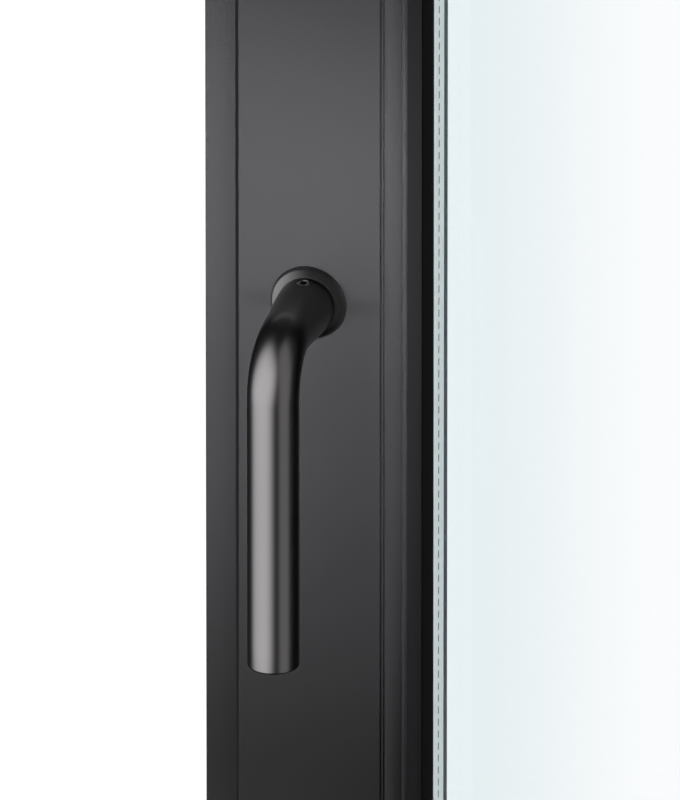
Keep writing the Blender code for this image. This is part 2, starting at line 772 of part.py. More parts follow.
def build_lever(group, finishes):
    bm = bmesh.new()
    rings = []
    travel = 0.0
    before = None

    def add_ring(out, height, tangent, radius):
        centre = HANDLE_AXIS + Vector((0, -out, height))
        across = Vector((0, tangent[1], tangent[0]))
        row = []
        for i in range(LEVER_SEGMENTS):
            angle = 2 * math.pi * i / LEVER_SEGMENTS
            spoke = math.cos(angle) * Vector((1, 0, 0)) + math.sin(angle) * across
            row.append(bm.verts.new(centre + radius * spoke))
        rings.append(row)

    for out, height, along, rise in lever_path():
        if before:
            travel += math.hypot(out - before[0], height - before[1])
        before = (out, height)
        add_ring(out, height, (along, rise), lever_radius(travel))
    for i in range(4):
        angle = math.pi / 2 * i / 3
        radius = GRIP_RADIUS - LEVER_END_ROUND * (1 - math.cos(angle))
        height = -LEVER_LENGTH + LEVER_END_ROUND * (1 - math.sin(angle))
        add_ring(GRIP_OFFSET, height, (0, -1), radius)
    for here, there in zip(rings, rings[1:]):
        for i in range(LEVER_SEGMENTS):
            j = (i + 1) % LEVER_SEGMENTS
            bm.faces.new((here[i], here[j], there[j], there[i]))
    bm.faces.new(rings[0])
    bm.faces.new(rings[-1])
    lever = finish("lever", bm, group, finishes["lever"], smooth=True)
    half = SPINDLE / 2 + GAP
    low = HANDLE_AXIS + Vector((-half, -SOCKET_DEPTH, -half))
    high = HANDLE_AXIS + Vector((half, 0, half))
    cut(lever, box(low, high))
    hole = HANDLE_AXIS + Vector((0, -GRUB_OFFSET, 0))
    cut(lever, rod_shape(hole, (0, 0, 1), GRUB_RADIUS + GAP, 0, 2 * NECK_RADIUS, 20))


def build_handle(turning, sash, finishes):
    build_lever(turning, finishes)
    build_pinion(turning, finishes)
    half = SPINDLE / 2
    back = GROOVE_MID + PINION_WIDTH / 2 + CASE_WALL
    low = HANDLE_AXIS + Vector((-half, GAP - SOCKET_DEPTH, -half))
    high = HANDLE_AXIS + Vector((half, back, half))
    finish("spindle", box(low, high), turning, finishes["steel"])
    at = HANDLE_AXIS + Vector((0, -GRUB_OFFSET, 0))
    foot, head = half + GAP, NECK_RADIUS - 4 * GAP
    grub = finish("grub_screw", rod_shape(at, (0, 0, 1), GRUB_RADIUS, foot, head), turning, finishes["steel"])
    key = rod_shape(at, (0, 0, 1), GRUB_KEY / 2, head - GRUB_KEY_DEPTH, head + WALL, 6)
    cut(grub, key)
    build_rosette(sash, finishes)


def build_rosette(group, finishes):
    front = ROSETTE_HEIGHT
    rim_front = ROSETTE_RADIUS - ROSETTE_TAPER
    inner = rim_front - ROSETTE_SHELL
    bore = SPINDLE_HOLE
    cover = [(bore, front), (rim_front - EDGE, front), (rim_front, front - EDGE)]
    cover += [(ROSETTE_RADIUS, GAP), (inner, GAP), (inner, front - ROSETTE_SHELL)]
    cover += [(bore, front - ROSETTE_SHELL)]
    shape = turned(HANDLE_AXIS, (0, -1, 0), cover, 48, closed=True)
    finish("rosette_cover", shape, group, finishes["lever"], smooth=True)
    top = front - ROSETTE_SHELL - GAP
    rim = inner - GAP
    base = [(bore, GAP), (rim, GAP), (rim, top), (bore, top)]
    plate = finish(
        "rosette_base", turned(HANDLE_AXIS, (0, -1, 0), base, 32, closed=True), group, finishes["zinc"]
    )
    seat = top - 4 * GAP
    for name, z in (("upper_fixing_screw", SCREW_PITCH / 2), ("lower_fixing_screw", -SCREW_PITCH / 2)):
        at = HANDLE_AXIS + Vector((0, 0, z))
        hole = [(0, top + WALL), (SCREW_HEAD + GAP, top + WALL), (SCREW_HEAD + GAP, seat)]
        hole += [(SCREW_RADIUS + GAP, seat), (SCREW_RADIUS + GAP, -WALL), (0, -WALL)]
        cut(plate, turned(at, (0, -1, 0), hole, 16))
        tip = GAP - GROOVE_MID + PINION_WIDTH / 2
        screw = [(0, top), (SCREW_HEAD, top), (SCREW_HEAD, seat + GAP)]
        screw += [(SCREW_RADIUS, seat + GAP), (SCREW_RADIUS, tip), (0, tip)]
        finish(name, turned(at, (0, -1, 0), screw, 16), group, finishes["steel"])


def barrel_arc(start, end, steps):
    return arc((HINGE_U, HINGE_W), BARREL_RADIUS, start, end, steps)


def frame_leaf_profile():
    """Plate on the frame's room face, a web and the barrel in front of it."""
    web = HINGE_U - BARREL_RADIUS
    web_in = web + 1.5 * LEAF
    back = FRAME_FRONT - GAP
    start = math.degrees(math.acos((web_in - HINGE_U) / BARREL_RADIUS))
    outline = [(FRAME_LEAF_MARGIN, back), (FRAME_LEAF_MARGIN, back - LEAF), (web, back - LEAF)]
    outline += barrel_arc(180, 360 + start, 16)
    outline += [(web_in, back - LEAF), (REVEAL - FRAME_LEAF_MARGIN, back - LEAF)]
    outline += [(REVEAL - FRAME_LEAF_MARGIN, back)]
    return outline


def sash_leaf_profile():
    """Plate on the sash's room face that runs into the barrel."""
    top = -GAP - LEAF
    start = math.degrees(math.asin((top - HINGE_W) / BARREL_RADIUS))
    outline = barrel_arc(start, -270, 16)
    outline += [(HINGE_U + SASH_LEAF_WIDTH, -GAP), (HINGE_U + SASH_LEAF_WIDTH, top)]
    return outline


def build_hinge(name, z, group, finishes):
    half = BARREL_LENGTH / 2
    knuckle = BARREL_LENGTH / 4
    bore = arc((HINGE_U, HINGE_W), PIN_RADIUS + GAP, 0, 345, 23)
    frame_leaf = upright([frame_leaf_profile(), bore], "right", z - half, z + half)
    leaf = finish(name + "_frame_leaf", frame_leaf, None, finishes["steel"], smooth=True)
    reach = BARREL_RADIUS + KNUCKLE_GAP
    low = place("right", HINGE_U + reach, HINGE_W - reach, z - knuckle - KNUCKLE_GAP)
    high = place("right", -WALL, FRAME_FRONT - GAP - LEAF - KNUCKLE_GAP, z + knuckle + KNUCKLE_GAP)
    cut(leaf, box(low, high))
    sash_leaf = upright([sash_leaf_profile(), bore], "right", z - knuckle, z + knuckle)
    finish(name + "_sash_leaf", sash_leaf, group, finishes["steel"], smooth=True)
    axis = Vector((HINGE_AXIS.x, HINGE_AXIS.y, z))
    profile = [(0, -half), (PIN_RADIUS, -half), (PIN_RADIUS, half + GAP), (PIN_HEAD, half + GAP)]
    profile += [(PIN_HEAD, half + GAP + PIN_CAP - EDGE), (PIN_HEAD - EDGE, half + GAP + PIN_CAP)]
    profile += [(0, half + GAP + PIN_CAP)]
    finish(name + "_pin", turned(axis, (0, 0, 1), profile), None, finishes["steel"], smooth=True)


def main():
    clear_scene()
    finishes = {
        "coat": material("anthracite_coat", (0.055, 0.055, 0.058), 0.5, 0.0),
        "polyamide": material("polyamide", (0.02, 0.02, 0.022), 0.6, 0.0),
        "rubber": material("black_rubber", (0.01, 0.01, 0.011), 0.7, 0.0),
        "glass": material("clear_glass", (0.85, 0.93, 0.94), 0.02, 0.0, 0.3),
        "spacer": material("spacer_aluminium", (0.6, 0.63, 0.64), 0.4, 1.0),
        "steel": material("zinc_plated_steel", (0.5, 0.5, 0.5), 0.35, 1.0),
        "zinc": material("die_cast_zinc", (0.42, 0.42, 0.43), 0.45, 1.0),
        "lever": material("dark_bronze_lever", (0.10, 0.095, 0.09), 0.3, 1.0),
    }
    hinge_line = empty("hinge_line", HINGE_AXIS)
    handle_line = empty("handle_line", HANDLE_AXIS, hinge_line)
    rod_line = empty("rod_line", ROD_AXIS, hinge_line)
    build_frame(finishes)
    build_keeps(finishes)
    build_sash(hinge_line, finishes)
    build_glazing(hinge_line, finishes)
    build_gear_case(hinge_line, finishes)
    build_handle(handle_line, hinge_line, finishes)
    build_drive_rod(rod_line, finishes)
    for name, z in (("upper_hinge", HEIGHT - HINGE_FROM_END), ("lower_hinge", HINGE_FROM_END)):
        build_hinge(name, z, hinge_line, finishes)


main()
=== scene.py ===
"""Looks of an inward-opening casement window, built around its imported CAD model."""
import json
import math

import bmesh
import bpy
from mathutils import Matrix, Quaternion, Vector


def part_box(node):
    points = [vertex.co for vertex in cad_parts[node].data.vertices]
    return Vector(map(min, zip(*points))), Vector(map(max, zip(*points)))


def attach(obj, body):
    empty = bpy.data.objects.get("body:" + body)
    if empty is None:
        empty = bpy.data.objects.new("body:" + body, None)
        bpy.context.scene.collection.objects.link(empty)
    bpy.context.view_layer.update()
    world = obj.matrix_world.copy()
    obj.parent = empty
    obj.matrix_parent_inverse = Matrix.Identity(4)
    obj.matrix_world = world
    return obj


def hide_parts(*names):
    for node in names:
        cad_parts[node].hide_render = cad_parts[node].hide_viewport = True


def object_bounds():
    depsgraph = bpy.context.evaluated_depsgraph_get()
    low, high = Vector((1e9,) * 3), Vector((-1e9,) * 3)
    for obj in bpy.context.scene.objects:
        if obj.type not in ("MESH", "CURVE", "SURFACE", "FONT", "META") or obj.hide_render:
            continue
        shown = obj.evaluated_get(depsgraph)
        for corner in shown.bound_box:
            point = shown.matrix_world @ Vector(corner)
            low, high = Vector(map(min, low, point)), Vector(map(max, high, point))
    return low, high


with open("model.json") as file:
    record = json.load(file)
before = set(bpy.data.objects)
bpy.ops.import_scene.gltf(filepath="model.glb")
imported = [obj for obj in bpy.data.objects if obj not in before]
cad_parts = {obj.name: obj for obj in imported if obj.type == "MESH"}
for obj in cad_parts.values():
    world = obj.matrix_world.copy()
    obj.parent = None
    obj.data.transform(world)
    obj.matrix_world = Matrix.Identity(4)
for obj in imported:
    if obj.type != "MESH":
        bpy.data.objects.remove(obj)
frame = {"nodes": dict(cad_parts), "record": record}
CAD_LOW, CAD_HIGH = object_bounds()

MM = 0.001
SIDES = ("left", "right", "bottom", "top")

# Walls, gaps and edges that many pieces share
WALL = 2 * MM
GAP = 0.3 * MM
SOFT_EDGE = 0.5 * MM
FINE_EDGE = 0.3 * MM
MITRE = 0.06 * MM
CORNER_STEPS = 4
SHARP = math.radians(32)
BEVEL_ANGLE = math.radians(40)


# ---------------------------------------------------------------- places from the frame

HALF_WIDTH = CAD_HIGH[0]
HEIGHT = CAD_HIGH[2]
SASH_FACE_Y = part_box("sash_inner_left")[0][1]


def section(node):
    """(u0, u1, w0, w1) of a left bar or a ring: u in from the window's edge, w back from the sash face."""
    low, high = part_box(node)
    far = low[0] + 2 * HALF_WIDTH if high[0] > 0 > low[0] else high[0] + HALF_WIDTH
    return low[0] + HALF_WIDTH, far, low[1] - SASH_FACE_Y, high[1] - SASH_FACE_Y


def joint(name):
    return next(j for j in frame["record"]["behaviour"]["joints"] if j["name"] == name)


HANDLE = Vector(joint("handle_turn")["pos_m"])
HANDLE_SEAT = Vector((HANDLE.x, SASH_FACE_Y, HANDLE.z))
SASH_EDGE, REBATE = section("sash_break_left")[:2]


def place(side, u, w, along):
    """Point of a bar's section, at a distance up from the window's foot or in from its left edge."""
    y = SASH_FACE_Y + w
    if side == "left":
        return Vector((u - HALF_WIDTH, y, along))
    if side == "right":
        return Vector((HALF_WIDTH - u, y, along))
    if side == "bottom":
        return Vector((along - HALF_WIDTH, y, u))
    return Vector((along - HALF_WIDTH, y, HEIGHT - u))


# ---------------------------------------------------------------- materials

class Nodes:
    """A material's node tree with the few calls that the materials below need."""

    def __init__(self, name):
        self.material = bpy.data.materials.new(name)
        self.material.use_nodes = True
        self.tree = self.material.node_tree
        self.shader = self.tree.nodes["Principled BSDF"]
        self.output = self.tree.nodes["Material Output"]
        self.position = self.add("ShaderNodeTexCoord").outputs["Object"]

    def add(self, kind, **settings):
        node = self.tree.nodes.new(kind)
        for key, value in settings.items():
            setattr(node, key, value)
        return node

    def link(self, source, target):
        self.tree.links.new(source, target)

    def noise(self, scale, detail=3.0, roughness=0.5, stretch=None):
        node = self.add("ShaderNodeTexNoise")
        node.inputs["Scale"].default_value = scale
        node.inputs["Detail"].default_value = detail
        node.inputs["Roughness"].default_value = roughness
        source = self.position
        if stretch:
            mapping = self.add("ShaderNodeMapping")
            mapping.inputs["Scale"].default_value = stretch
            self.link(source, mapping.inputs["Vector"])
            source = mapping.outputs["Vector"]
        self.link(source, node.inputs["Vector"])
        return node.outputs["Fac"]

    def ramp(self, source, stops):
        node = self.add("ShaderNodeValToRGB")
        elements = node.color_ramp.elements
        while len(elements) < len(stops):
            elements.new(0.5)
        for element, (at, value) in zip(elements, stops):
            element.position = at
            element.color = (*value, 1.0) if isinstance(value, tuple) else (value, value, value, 1.0)
        self.link(source, node.inputs["Fac"])
        return node.outputs["Color"]

    def smooth(self, source, near, far, low=0.0, high=1.0):
        """Pass smoothly from low to high while the source goes from near to far."""
        node = self.add("ShaderNodeMapRange", interpolation_type="SMOOTHSTEP")
        for name, value in (("From Min", near), ("From Max", far), ("To Min", low), ("To Max", high)):
            node.inputs[name].default_value = value
        self.link(source, node.inputs["Value"])
        return node.outputs["Result"]

    def math(self, operation, first, second=None, third=None):
        node = self.add("ShaderNodeMath", operation=operation)
        for socket, value in zip(node.inputs, (first, second, third)):
            if value is None:
                continue
            if isinstance(value, (int, float)):
                socket.default_value = value
            else:
                self.link(value, socket)
        return node.outputs["Value"]

    def bump(self, source, distance, strength=1.0, onto=None):
        node = self.add("ShaderNodeBump")
        node.inputs["Distance"].default_value = distance
        node.inputs["Strength"].default_value = strength
        self.link(source, node.inputs["Height"])
        if onto is not None:
            self.link(onto, node.inputs["Normal"])
        return node.outputs["Normal"]

    def set(self, **values):
        for key, value in values.items():
            self.shader.inputs[key.replace("_", " ")].default_value = value


def powder_coat(name, dark, light, roughness):
    """Fine-texture powder coat: a faint orange peel over a fine grain, a little duller where the grain stands
    up.
    """
    n = Nodes(name)
    grain = n.noise(2600, 2.0)
    peel = n.noise(420, 2.0)
    cloud = n.noise(9, 3.0)
    n.link(n.ramp(cloud, [(0.3, dark), (0.7, light)]), n.shader.inputs["Base Color"])
    n.link(n.ramp(grain, [(0.25, roughness - 0.05), (0.75, roughness + 0.07)]), n.shader.inputs["Roughness"])
    n.link(n.bump(grain, 0.03 * MM, 0.5, n.bump(peel, 0.02 * MM, 0.2)), n.shader.inputs["Normal"])
    n.set(Metallic=0.0)
    n.shader.inputs["Specular IOR Level"].default_value = 0.26
    return n.material


def satin_metal(name, tint, shade, roughness, grain=1800, lay=None, gloss_drift=1.0):
    """Satin metal: fine blasted grain, slow drifts in colour and gloss from handling."""
    n = Nodes(name)
    fine = n.noise(grain, 2.0, stretch=lay)
    drift = n.noise(28, 3.0)
    n.link(n.ramp(drift, [(0.3, shade), (0.7, tint)]), n.shader.inputs["Base Color"])
    mixed = n.math("ADD", n.math("MULTIPLY", fine, 0.5), n.math("MULTIPLY", drift, 0.5))
    low, high = roughness - 0.03 * gloss_drift, roughness + 0.05 * gloss_drift
    n.link(n.ramp(mixed, [(0.3, low), (0.7, high)]), n.shader.inputs["Roughness"])
    n.link(n.bump(fine, 0.01 * MM, 0.25 * gloss_drift), n.shader.inputs["Normal"])
    n.set(Metallic=1.0)
    return n.material


def rubber(name, dark, light):
    """Extruded rubber: a fine grain, chalky and duller in patches."""
    n = Nodes(name)
    fine = n.noise(1500, 3.0)
    bloom = n.noise(45, 3.0)
    n.link(n.ramp(bloom, [(0.3, dark), (0.75, light)]), n.shader.inputs["Base Color"])
    n.link(n.ramp(bloom, [(0.3, 0.62), (0.75, 0.76)]), n.shader.inputs["Roughness"])
    n.link(n.bump(fine, 0.04 * MM, 0.3), n.shader.inputs["Normal"])
    n.shader.inputs["Specular IOR Level"].default_value = 0.3
    return n.material


def polyamide(name):
    """Glass-filled polyamide: dark, with short pale fibres just under the surface."""
    n = Nodes(name)
    fibres = n.noise(900, 4.0, 0.7, (1.0, 1.0, 0.15))
    resin, fibre = (0.018, 0.018, 0.019), (0.05, 0.05, 0.052)
    n.link(n.ramp(fibres, [(0.45, resin), (0.75, fibre)]), n.shader.inputs["Base Color"])
    n.link(n.ramp(fibres, [(0.3, 0.5), (0.7, 0.68)]), n.shader.inputs["Roughness"])
    n.link(n.bump(fibres, 0.03 * MM, 0.4), n.shader.inputs["Normal"])
    return n.material


def spacer_metal(name):
    """Pale mill-finish aluminium with fine drawing lines."""
    n = Nodes(name)
    lines = n.noise(700, 3.0, 0.6, (1.0, 6.0, 1.0))
    dull, bright = (0.64, 0.665, 0.665), (0.755, 0.775, 0.775)
    n.link(n.ramp(lines, [(0.3, dull), (0.7, bright)]), n.shader.inputs["Base Color"])
    n.link(n.ramp(lines, [(0.3, 0.42), (0.7, 0.56)]), n.shader.inputs["Roughness"])
    n.link(n.bump(lines, 0.01 * MM, 0.3), n.shader.inputs["Normal"])
    n.set(Metallic=0.25)
    return n.material


# Painted shade on the glass: where it starts to fade towards the middle, where it is gone, and how round its
# corners are
PAINTED_SHADE_START = 88 * MM
PAINTED_SHADE_END = 176 * MM
PAINTED_SHADE_CORNER = 40 * MM
GLASS_IOR = 1.5


def pane_glass(name, edge_shade_tint, clear_tint):
    """Float glass that lets light straight through, with painted shade that darkens and blues the view
    through it near the edge of the pane.
    """
    n = Nodes(name)
    axes = n.add("ShaderNodeSeparateXYZ")
    n.link(n.position, axes.inputs["Vector"])
    from_side = n.math("SUBTRACT", HALF_WIDTH, n.math("ABSOLUTE", axes.outputs["X"]))
    level = n.math("SUBTRACT", axes.outputs["Z"], HEIGHT / 2)
    from_end = n.math("SUBTRACT", HEIGHT / 2, n.math("ABSOLUTE", level))
    inward = n.math("SMOOTH_MIN", from_side, from_end, PAINTED_SHADE_CORNER)
    # Painted shade: the light let through is darker and bluer near the frame, clearing towards the middle
    tint = n.ramp(n.smooth(inward, PAINTED_SHADE_START, PAINTED_SHADE_END), [(0.0, edge_shade_tint), (1.0, clear_tint)])
    clear = n.add("ShaderNodeBsdfTransparent")
    n.link(tint, clear.inputs["Color"])
    shine = n.add("ShaderNodeBsdfGlossy")
    shine.inputs["Roughness"].default_value = 0.015
    ripple = n.noise(3.0, 1.0)
    n.link(n.bump(ripple, 0.4 * MM, 0.05), shine.inputs["Normal"])
    fresnel = n.add("ShaderNodeFresnel")
    fresnel.inputs["IOR"].default_value = GLASS_IOR
    facing = n.math("SUBTRACT", 1.0, n.add("ShaderNodeNewGeometry").outputs["Backfacing"])
    mix = n.add("ShaderNodeMixShader")
    n.link(n.math("MULTIPLY", fresnel.outputs["Fac"], facing), mix.inputs["Fac"])
    n.link(clear.outputs["BSDF"], mix.inputs[1])
    n.link(shine.outputs["BSDF"], mix.inputs[2])
    n.tree.nodes.remove(n.shader)
    n.link(mix.outputs["Shader"], n.output.inputs["Surface"])
    return n.material


FINISH = {
    "coat": powder_coat("anthracite_coat", (0.0425, 0.0420, 0.0450), (0.0455, 0.0450, 0.0480), 0.42),
    "hinge": powder_coat("hinge_coat", (0.050, 0.049, 0.052), (0.056, 0.055, 0.058), 0.36),
    "rubber": rubber("black_rubber", (0.030, 0.030, 0.032), (0.040, 0.040, 0.043)),
    "seal": rubber("grey_rubber", (0.13, 0.160, 0.165), (0.16, 0.195, 0.20)),
    "polyamide": polyamide("polyamide"),
    "spacer": spacer_metal("spacer_aluminium"),
    # Breathing slots: their dark colour is painted shade inside the spacer's holes
    "slot": rubber("slot_shadow", (0.075, 0.082, 0.083), (0.10, 0.108, 0.11)),
    "steel": satin_metal("zinc_plated_steel", (0.60, 0.60, 0.585), (0.50, 0.50, 0.49), 0.30, lay=(1, 1, 0.2)),
    "zinc": satin_metal("die_cast_zinc", (0.46, 0.46, 0.47), (0.36, 0.36, 0.37), 0.44, 900),
    "lever": satin_metal(
        "dark_anodised", (0.112, 0.108, 0.109), (0.107, 0.103, 0.104), 0.285, 2400, gloss_drift=0.2,
    ),
    "cover": satin_metal(
        "cover_anodised", (0.25, 0.243, 0.244), (0.235, 0.229, 0.230), 0.30, 2400, gloss_drift=0.2,
    ),
    # Glass colours: painted shade near the frame, then clear
    "glass": pane_glass("float_glass", (0.945, 0.966, 0.971), (0.992, 0.996, 0.998)),
}


# ---------------------------------------------------------------- mesh helpers

def rounded(points):
    """An outline whose corners (u, w, radius) are rounded."""
    outline = []
    count = len(points)
    for i, (u, w, radius) in enumerate(points):
        here = Vector((u, w))
        if not radius:
            outline.append((u, w))
            continue
        before = (Vector(points[i - 1][:2]) - here).normalized()
        after = (Vector(points[(i + 1) % count][:2]) - here).normalized()
        half = before.angle(after) / 2
        inset = radius / math.tan(half)
        centre = here + (before + after).normalized() * radius / math.sin(half)
        start = here + before * inset - centre
        end = here + after * inset - centre
        sweep = start.angle_signed(end)
        for k in range(CORNER_STEPS + 1):
            angle = -sweep * k / CORNER_STEPS
            turn = (math.cos(angle) * start.x - math.sin(angle) * start.y,
                    math.sin(angle) * start.x + math.cos(angle) * start.y)
            outline.append((centre.x + turn[0], centre.y + turn[1]))
    return outline


def rectangle(u0, u1, w0, w1):
    return [(u0, w0), (u1, w0), (u1, w1), (u0, w1)]


def arc(centre, radius, start, end, steps):
    """Points of an arc from one angle to another, in degrees."""
    points = []
    for i in range(steps + 1):
        angle = math.radians(start + (end - start) * i / steps)
        points.append((centre[0] + radius * math.cos(angle), centre[1] + radius * math.sin(angle)))
    return points


def to_object(name, bm, finish, smooth=True):
    bmesh.ops.remove_doubles(bm, verts=bm.verts, dist=1e-7)
    bmesh.ops.recalc_face_normals(bm, faces=bm.faces)
    mesh = bpy.data.meshes.new(name)
    bm.to_mesh(mesh)
    bm.free()
    if smooth:
        mesh.shade_smooth()
        mesh.set_sharp_from_angle(angle=SHARP)
    obj = bpy.data.objects.new(name, mesh)
    bpy.context.collection.objects.link(obj)
    mesh.materials.append(FINISH[finish])
    return obj


# Pieces that are lit alike, in the order they are built
COATED, PANES, UNIT, METAL = [], [], [], []
LIT_WITH = {
    "coat": COATED, "glass": PANES, "spacer": UNIT, "slot": UNIT, "seal": UNIT,
    "lever": METAL, "steel": METAL, "cover": METAL,
}


def piece(name, bm, finish, body, *nodes):
    """A finished piece that rides on a body, takes a slot and may stand for CAD nodes."""
    obj = to_object(name, bm, finish)
    LIT_WITH.get(finish, []).append(obj)
    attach(obj, body)
    if nodes:
        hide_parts(*nodes)
    return obj


def extrude_loops(bm, loops, start, end):
    """Run a section, whose later loops are hollows, from one end to the other and close both ends."""
    ends = ([], [])
    for loop in loops:
        rings = [[bm.verts.new(at(u, w)) for u, w in loop] for at in (start, end)]
        count = len(loop)
        for i in range(count):
            j = (i + 1) % count
            bm.faces.new((rings[0][i], rings[0][j], rings[1][j], rings[1][i]))
        for edges, ring in zip(ends, rings):
            for i in range(count):
                edges.append(bm.edges.get((ring[i], ring[(i + 1) % count])))
    for edges in ends:
        bmesh.ops.triangle_fill(bm, use_beauty=True, use_dissolve=False, edges=edges)


def mitred(side, loops):
    """Bar on one side of the window, cut on the mitre at both ends."""
    length = HEIGHT if side in ("left", "right") else 2 * HALF_WIDTH
    bm = bmesh.new()
    extrude_loops(
        bm,
        loops,
        lambda u, w: place(side, u, w, u + MITRE),
        lambda u, w: place(side, u, w, length - u - MITRE),
    )
    return bm


def ring(outline):
    """Section that runs unbroken round all four sides."""
    bm = bmesh.new()
    corners = []
    for side, far in (("left", False), ("right", False), ("right", True), ("left", True)):
        corners.append([bm.verts.new(place(side, u, w, HEIGHT - u if far else u)) for u, w in outline])
    for c in range(4):
        here, there = corners[c], corners[(c + 1) % 4]
        for i in range(len(outline)):
            j = (i + 1) % len(outline)
            bm.faces.new((here[i], here[j], there[j], there[i]))
    return bm


def box(low, high):
    bm = bmesh.new()
    bmesh.ops.create_cube(bm, size=1)
    low, high = Vector(low), Vector(high)
    bmesh.ops.scale(bm, vec=high - low, verts=bm.verts)
    bmesh.ops.translate(bm, vec=(low + high) / 2, verts=bm.verts)
    return bm


def turned(centre, direction, profile, segments, closed=False):
    """Turn (radius, distance) points about an axis; a closed profile leaves a bore."""
    direction = Vector(direction).normalized()
    side = direction.orthogonal().normalized()
    up = direction.cross(side)
    bm = bmesh.new()
    rings = []
    for radius, distance in profile:
        middle = Vector(centre) + direction * distance
        if radius == 0:
            rings.append([bm.verts.new(middle)] * segments)
            continue
        row = []
        for i in range(segments):
            angle = 2 * math.pi * i / segments
            row.append(bm.verts.new(middle + radius * (math.cos(angle) * side + math.sin(angle) * up)))
        rings.append(row)
    for k in range(len(rings) if closed else len(rings) - 1):
        here, there = rings[k], rings[(k + 1) % len(rings)]
        for i in range(segments):
            j = (i + 1) % segments
            corners = []
            for corner in (here[i], here[j], there[j], there[i]):
                if corner not in corners:
                    corners.append(corner)
            bm.faces.new(corners)
    bmesh.ops.recalc_face_normals(bm, faces=bm.faces)
    return bm


def carve(obj, *shapes):
    """Cut shapes out of an object and keep only the result."""
    whole = bmesh.new()
    for shape in shapes:
        mesh = bpy.data.meshes.new("carve")
        shape.to_mesh(mesh)
        shape.free()
        whole.from_mesh(mesh)
        bpy.data.meshes.remove(mesh)
    bmesh.ops.recalc_face_normals(whole, faces=whole.faces)
    mesh = bpy.data.meshes.new("carve")
    whole.to_mesh(mesh)
    whole.free()
    tool = bpy.data.objects.new("carve", mesh)
    bpy.context.collection.objects.link(tool)
    step = obj.modifiers.new("carve", "BOOLEAN")
    step.operation = "DIFFERENCE"
    step.solver = "EXACT"
    step.object = tool
    bpy.context.view_layer.update()
    result = bpy.data.meshes.new_from_object(obj.evaluated_get(bpy.context.evaluated_depsgraph_get()))
    obj.modifiers.remove(step)
    old = obj.data
    obj.data = result
    result.name = obj.name
    bpy.data.meshes.remove(old)
    bpy.data.objects.remove(tool)
    result.shade_smooth()
    result.set_sharp_from_angle(angle=SHARP)


def soften(obj, width):
    step = obj.modifiers.new("soft_edges", "BEVEL")
    step.width = width
    step.segments = 2
    step.limit_method = "ANGLE"
    step.angle_limit = BEVEL_ANGLE


# ---------------------------------------------------------------- frame and sash bars

def frame_inner_loops():
    u0, u1, w0, w1 = section("frame_inner_left")
    outer = rounded([(u0, w0, SOFT_EDGE), (u1, w0, SOFT_EDGE), (u1, w1, 0), (u0, w1, 0)])
    return [outer, rectangle(u0 + WALL, u1 - WALL, w0 + WALL, w1 - WALL)]


def frame_outer_loops():
    u0, u1, w0, w1 = section("frame_outer_left")
    outer = rounded([(u0, w0, 0), (u1, w0, 0), (u1, w1, SOFT_EDGE), (u0, w1, SOFT_EDGE)])
    return [outer, rectangle(u0 + WALL, u1 - WALL, w0 + WALL, w1 - WALL)]


LIP_RETURN = 5.5 * MM
LIP_TRIM = 0.3 * MM
GROOVE_LIP = 1.5 * MM
GROOVE_MOUTH = 12 * MM
GROOVE_WIDTH = 16 * MM
POCKET_INSET = 0.6 * MM
GROOVE_FLOOR = section("gear_case")[0] + POCKET_INSET


def sash_inner_loops():
    """Room side of the sash: a lip over the frame, and the hardware groove in its outer edge."""
    u0, u1, _, w1 = section("sash_inner_left")
    low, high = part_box("upper_locking_cam")
    middle = (low[1] + high[1]) / 2 - SASH_FACE_Y
    lip = SASH_EDGE + GROOVE_LIP
    inside, outside = middle - GROOVE_WIDTH / 2, middle + GROOVE_WIDTH / 2
    mouth_in, mouth_out = middle - GROOVE_MOUTH / 2, middle + GROOVE_MOUTH / 2
    edge = u0 + LIP_TRIM
    fine = FINE_EDGE
    outer = rounded([
        (edge, 0, SOFT_EDGE), (u1, 0, SOFT_EDGE), (u1, WALL, 0), (REBATE, WALL, 0), (REBATE, w1, 0),
        (SASH_EDGE, w1, fine), (SASH_EDGE, mouth_out, fine), (lip, mouth_out, fine), (lip, outside, 0),
        (GROOVE_FLOOR, outside, fine), (GROOVE_FLOOR, inside, fine), (lip, inside, 0), (lip, mouth_in, fine),
        (SASH_EDGE, mouth_in, fine), (SASH_EDGE, WALL, fine), (u0 + WALL, WALL, fine),
        (u0 + WALL, LIP_RETURN, SOFT_EDGE), (edge, LIP_RETURN, SOFT_EDGE),
    ])
    chamber = rounded([
        (SASH_EDGE + WALL, WALL, 0), (REBATE - WALL, WALL, 0), (REBATE - WALL, w1 - WALL, 0),
        (GROOVE_FLOOR + WALL, w1 - WALL, 0), (GROOVE_FLOOR + WALL, inside - WALL, 0),
        (SASH_EDGE + WALL, inside - WALL, 0),
    ])
    return [outer, chamber]


OUTDOOR_FACE = 9.5 * MM
LEG_EDGE = 0.8 * MM


def sash_outer_loops():
    """Outdoor side of the sash, whose leg slopes down to the glass."""
    u0, u1, w0, w1 = section("sash_outer_left")
    face = REBATE + OUTDOOR_FACE
    outer = rounded([
        (u0, w0, 0), (u1, w0, 0), (u1, w0 + WALL, LEG_EDGE), (face, w1, LEG_EDGE), (u0, w1, SOFT_EDGE),
    ])
    return [outer, rectangle(u0 + WALL, face - WALL, w0 + WALL, w1 - WALL)]


BEAD_NOSE = 1.1 * MM
BEAD_WALL = 1.7 * MM
BEAD_GROOVE = 2 * MM
GROOVE_SHELF = 0.6 * MM
GROOVE_DEPTH = 0.9 * MM
RIB_PLACE = 0.98 * MM
RIB_WIDTH = 0.38 * MM
RIB_TOP = 0.2 * MM
RIB_ROUND = 0.12 * MM
FACE_LEVEL = 0.4 * MM
FACE_ROUND = 0.15 * MM
FACE_CREST = 0.42
FACE_RISE = 0.32 * MM
FACE_FALL = 0.95 * MM
FACE_STEPS = 16
QUIRK = 0.05 * MM


